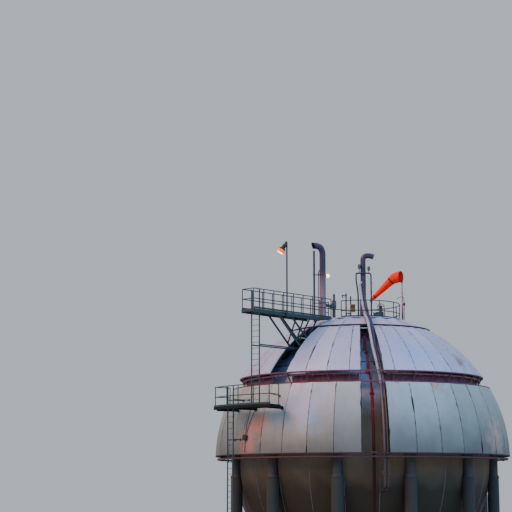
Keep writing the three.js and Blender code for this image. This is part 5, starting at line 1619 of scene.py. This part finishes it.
# Windsock mast. A stepped steel tube beside the railing, in old primer, with a
# bolted foot, and a pin at its top that the hoop's sleeve turns on.
part = bmesh.new()
turned(part, above(MAST_AT, CROWN_TOP), [
    (0, 0.085), (0.028, 0.085), (0.03, 0.055), (0.06, 0.052), (0.86, 0.052), (0.9, 0.041), (2.19, 0.041),
    (2.2, 0.036)], 24)
turned(part, above(MAST_AT, MAST_TOP - 0.01), [(0, 0.015), (0.125, 0.015), (0.13, 0.01)], 12)
for height in (8.25, 8.75, 9.4):
    collar(part, above(MAST_AT, height), 0.05, 0.058, 0.034, 20)
bolt_circle(part, above(MAST_AT, CROWN_TOP + 0.02), 0.068, 6, 0.01, 0.035)
piece("windsock_mast_tube", part, mast_paint, ["windsock_mast"])

# Hoop. Round bar bent into a ring on two spokes. Its sleeve is a bored cap that
# drops over the mast's pin, so the wind can turn it.
HOOP_HEIGHT = 10.38
HOOP_R = 0.325
HOOP_OFFSET = 0.06
VANE_TURN = math.radians(25)
SLEEVE = (
    (0.042, 0), (0.042, 0.15), (0.034, 0.159), (0.03, 0.159), (0.03, 0.15), (0.002, 0.15), (0.002, 0.139),
    (0.022, 0.139), (0.022, 0))
hoop_steel = painted_steel(
    "dark red enamel on hoop bar", "5c1812", "6c241c", "2c1412", "4d2a20", rusting=0.35, rough=0.5)


def on_vane(back, across, height):
    """A point on the vane: how far behind the mast, across it, and its height."""
    tail = Vector((-math.cos(VANE_TURN), math.sin(VANE_TURN), 0)) * back
    side = Vector((math.sin(VANE_TURN), math.cos(VANE_TURN), 0)) * across
    return above(MAST_AT, height) + tail + side


part = bmesh.new()
ring = [on_vane(HOOP_OFFSET, HOOP_R * c, HOOP_HEIGHT + HOOP_R * s) for c, s in circle(64)]
sweep(part, ring, 0.012, 10, loop=True)
sleeve_low = above(MAST_AT, MAST_TOP + 0.001)
loft(part, [[sleeve_low + Vector((c * r, s * r, h)) for r, h in SLEEVE] for c, s in circle(24)], loop=True)
sweep(part, [above(MAST_AT, MAST_TOP + 0.145), above(MAST_AT, HOOP_HEIGHT + 0.012)], 0.018, 12)
for side in (-HOOP_R, HOOP_R):
    sweep(part, [above(MAST_AT, HOOP_HEIGHT), on_vane(HOOP_OFFSET, side, HOOP_HEIGHT)], 0.011, 10)
turned(part, above(MAST_AT, HOOP_HEIGHT - 0.02), [(0, 0.026), (0.035, 0.026), (0.04, 0.015)], 14)
hoop = piece("windsock_hoop_bar", part, hoop_steel, ["windsock_hoop"], body="windsock_vane")

# Windsock. One tapered sleeve of orange ripstop nylon, with a hem at the hoop. Two
# black webbing bands hold it round. Its first part is blown full, and behind the
# first band it hangs as a straight, puckered cone.
SOCK_REACH = 1.8
SOCK_SHAPE = [(0, 0.321), (0.22, 0.318), (0.43, 0.301), (0.585, 0.243), (0.77, 0.22), (SOCK_REACH, 0.109)]
SOCK_BEND = 0.613
SOCK_SLOPE = 0.81
SOCK_POWER = 1.42
SOCK_BANDS = (0.585, 1.62)
BAND_HALF = 0.03
HEM = (0.01, 0.028, "d01604")
MOUTH_BACK = HOOP_OFFSET + 0.012
ROUND_STEPS = 96


def sock_line(reach):
    """How far the middle of the sleeve has dropped at a distance from the mouth, and its tilt."""
    share = min(reach / SOCK_BEND, 1)
    slope = SOCK_SLOPE * share ** SOCK_POWER
    drop = slope * SOCK_BEND * share / (SOCK_POWER + 1) + SOCK_SLOPE * max(reach - SOCK_BEND, 0)
    return drop, math.atan(slope)


def sock_radius(reach):
    """The sleeve's radius, from the cut shape."""
    for (a, ra), (b, rb) in zip(SOCK_SHAPE, SOCK_SHAPE[1:]):
        if reach <= b:
            return ra + (rb - ra) * (reach - a) / (b - a)
    return SOCK_SHAPE[-1][1]


def sock_point(reach, turn, lift=0.0):
    """A point on the cloth, by its distance from the mouth and its turn round the sleeve."""
    held = min([abs(reach)] + [abs(reach - b) for b in SOCK_BANDS])
    loose = min(1, held / 0.2) * (0.3 + 0.7 * reach / SOCK_REACH)
    folds = math.sin(9 * turn + 2.4 * reach) + 0.6 * math.sin(5 * turn - 3.1 * reach + 1.0)
    billow = noise.noise(Vector((math.cos(turn) * 1.6, math.sin(turn) * 1.6, reach * 2.6)))
    radius = sock_radius(reach) * (1 + loose * (0.02 * folds + 0.05 * billow - 0.02)) + lift
    drop, tilt = sock_line(reach)
    rise = radius * math.sin(turn)
    back = MOUTH_BACK + reach + rise * math.sin(tilt)
    return on_vane(back, radius * math.cos(turn), HOOP_HEIGHT - drop + rise * math.cos(tilt))


def sock_ring(reach, lift=0.0):
    return [sock_point(reach, 2 * math.pi * k / ROUND_STEPS, lift) for k in range(ROUND_STEPS)]


def sock_middle(reach):
    """A point on the sleeve's middle line."""
    return on_vane(MOUTH_BACK + reach, 0, HOOP_HEIGHT - sock_line(reach)[0])


def ripstop(name):
    """Proofed nylon ripstop: a thin matt cloth with a slight sheen, crossed by
    heavier threads, with a darker hem and dark where it is banded."""
    material, tree, shader, place = new_material(name)
    _, colour = clouded(tree, place, "f21a00", "ff2c04", 4.0, 4)
    for reach, half, dark in [(b, BAND_HALF + 0.006, "1d1113") for b in SOCK_BANDS] + [HEM]:
        middle = sock_middle(reach)
        along = (sock_middle(reach + 0.01) - middle).normalized()
        spot = add(tree, "VectorMath", {0: place, 1: along}, operation="DOT_PRODUCT").outputs["Value"]
        offset = add(tree, "Math", {0: spot, 1: middle.dot(along)}, operation="SUBTRACT")
        away = add(tree, "Math", {0: offset}, operation="ABSOLUTE")
        banded = add(tree, "Math", {0: away, 1: half}, operation="LESS_THAN")
        colour = add(tree, "MixRGB", {"Fac": banded, "Color1": colour, "Color2": linear(dark)})
    # Real ripstop threads lie 5 mm apart; they are drawn at 25 mm so that they show.
    threads = [add(tree, "TexWave", {"Vector": place, "Scale": 12.5, "Distortion": 0.0},
                   bands_direction=axis).outputs["Fac"] for axis in ("X", "Z")]
    grid = add(tree, "Math", {0: threads[0], 1: threads[1]}, operation="MAXIMUM")
    relief = add(tree, "Bump", {"Height": grid, "Distance": 0.002, "Strength": 0.3})
    plug(shader, {"Base Color": colour, "Roughness": 0.7, "Specular IOR Level": 0.15, "Normal": relief})
    return material


part = bmesh.new()
grid = [[part.verts.new(p) for p in sock_ring(reach)] for reach in steps(0, SOCK_REACH, 100)]
for near, far in zip(grid, grid[1:]):
    for k in range(ROUND_STEPS):
        j = (k + 1) % ROUND_STEPS
        part.faces.new((near[k], near[j], far[j], far[k]))
cloth = ripstop("orange ripstop nylon")
sock = piece("windsock_sleeve", part, cloth, ["windsock"], body="windsock_vane", smooth=80)

part = bmesh.new()
webbing_black = painted_steel(
    "black cotton webbing", "1c1718", "2a2324", "141112", "241c1c", rusting=0.1, rough=0.9, bump=0.001)
strap = ((-BAND_HALF, 0.001), (-BAND_HALF, 0.004), (BAND_HALF, 0.004), (BAND_HALF, 0.001))
for centre in SOCK_BANDS:
    loft(part, list(zip(*(sock_ring(centre + shift, lift) for shift, lift in strap))), loop=True)
webbing = piece("windsock_webbing", part, webbing_black, body="windsock_vane")
middle_line = [(sock_radius(reach), sock_middle(reach)) for reach in steps(0, SOCK_REACH, 60)]
cut_length = sum((b - a).length for (_, a), (_, b) in zip(middle_line, middle_line[1:]))
cut_area = sum(math.pi * (ra + rb) * math.hypot((b - a).length, ra - rb)
               for (ra, a), (rb, b) in zip(middle_line, middle_line[1:]))
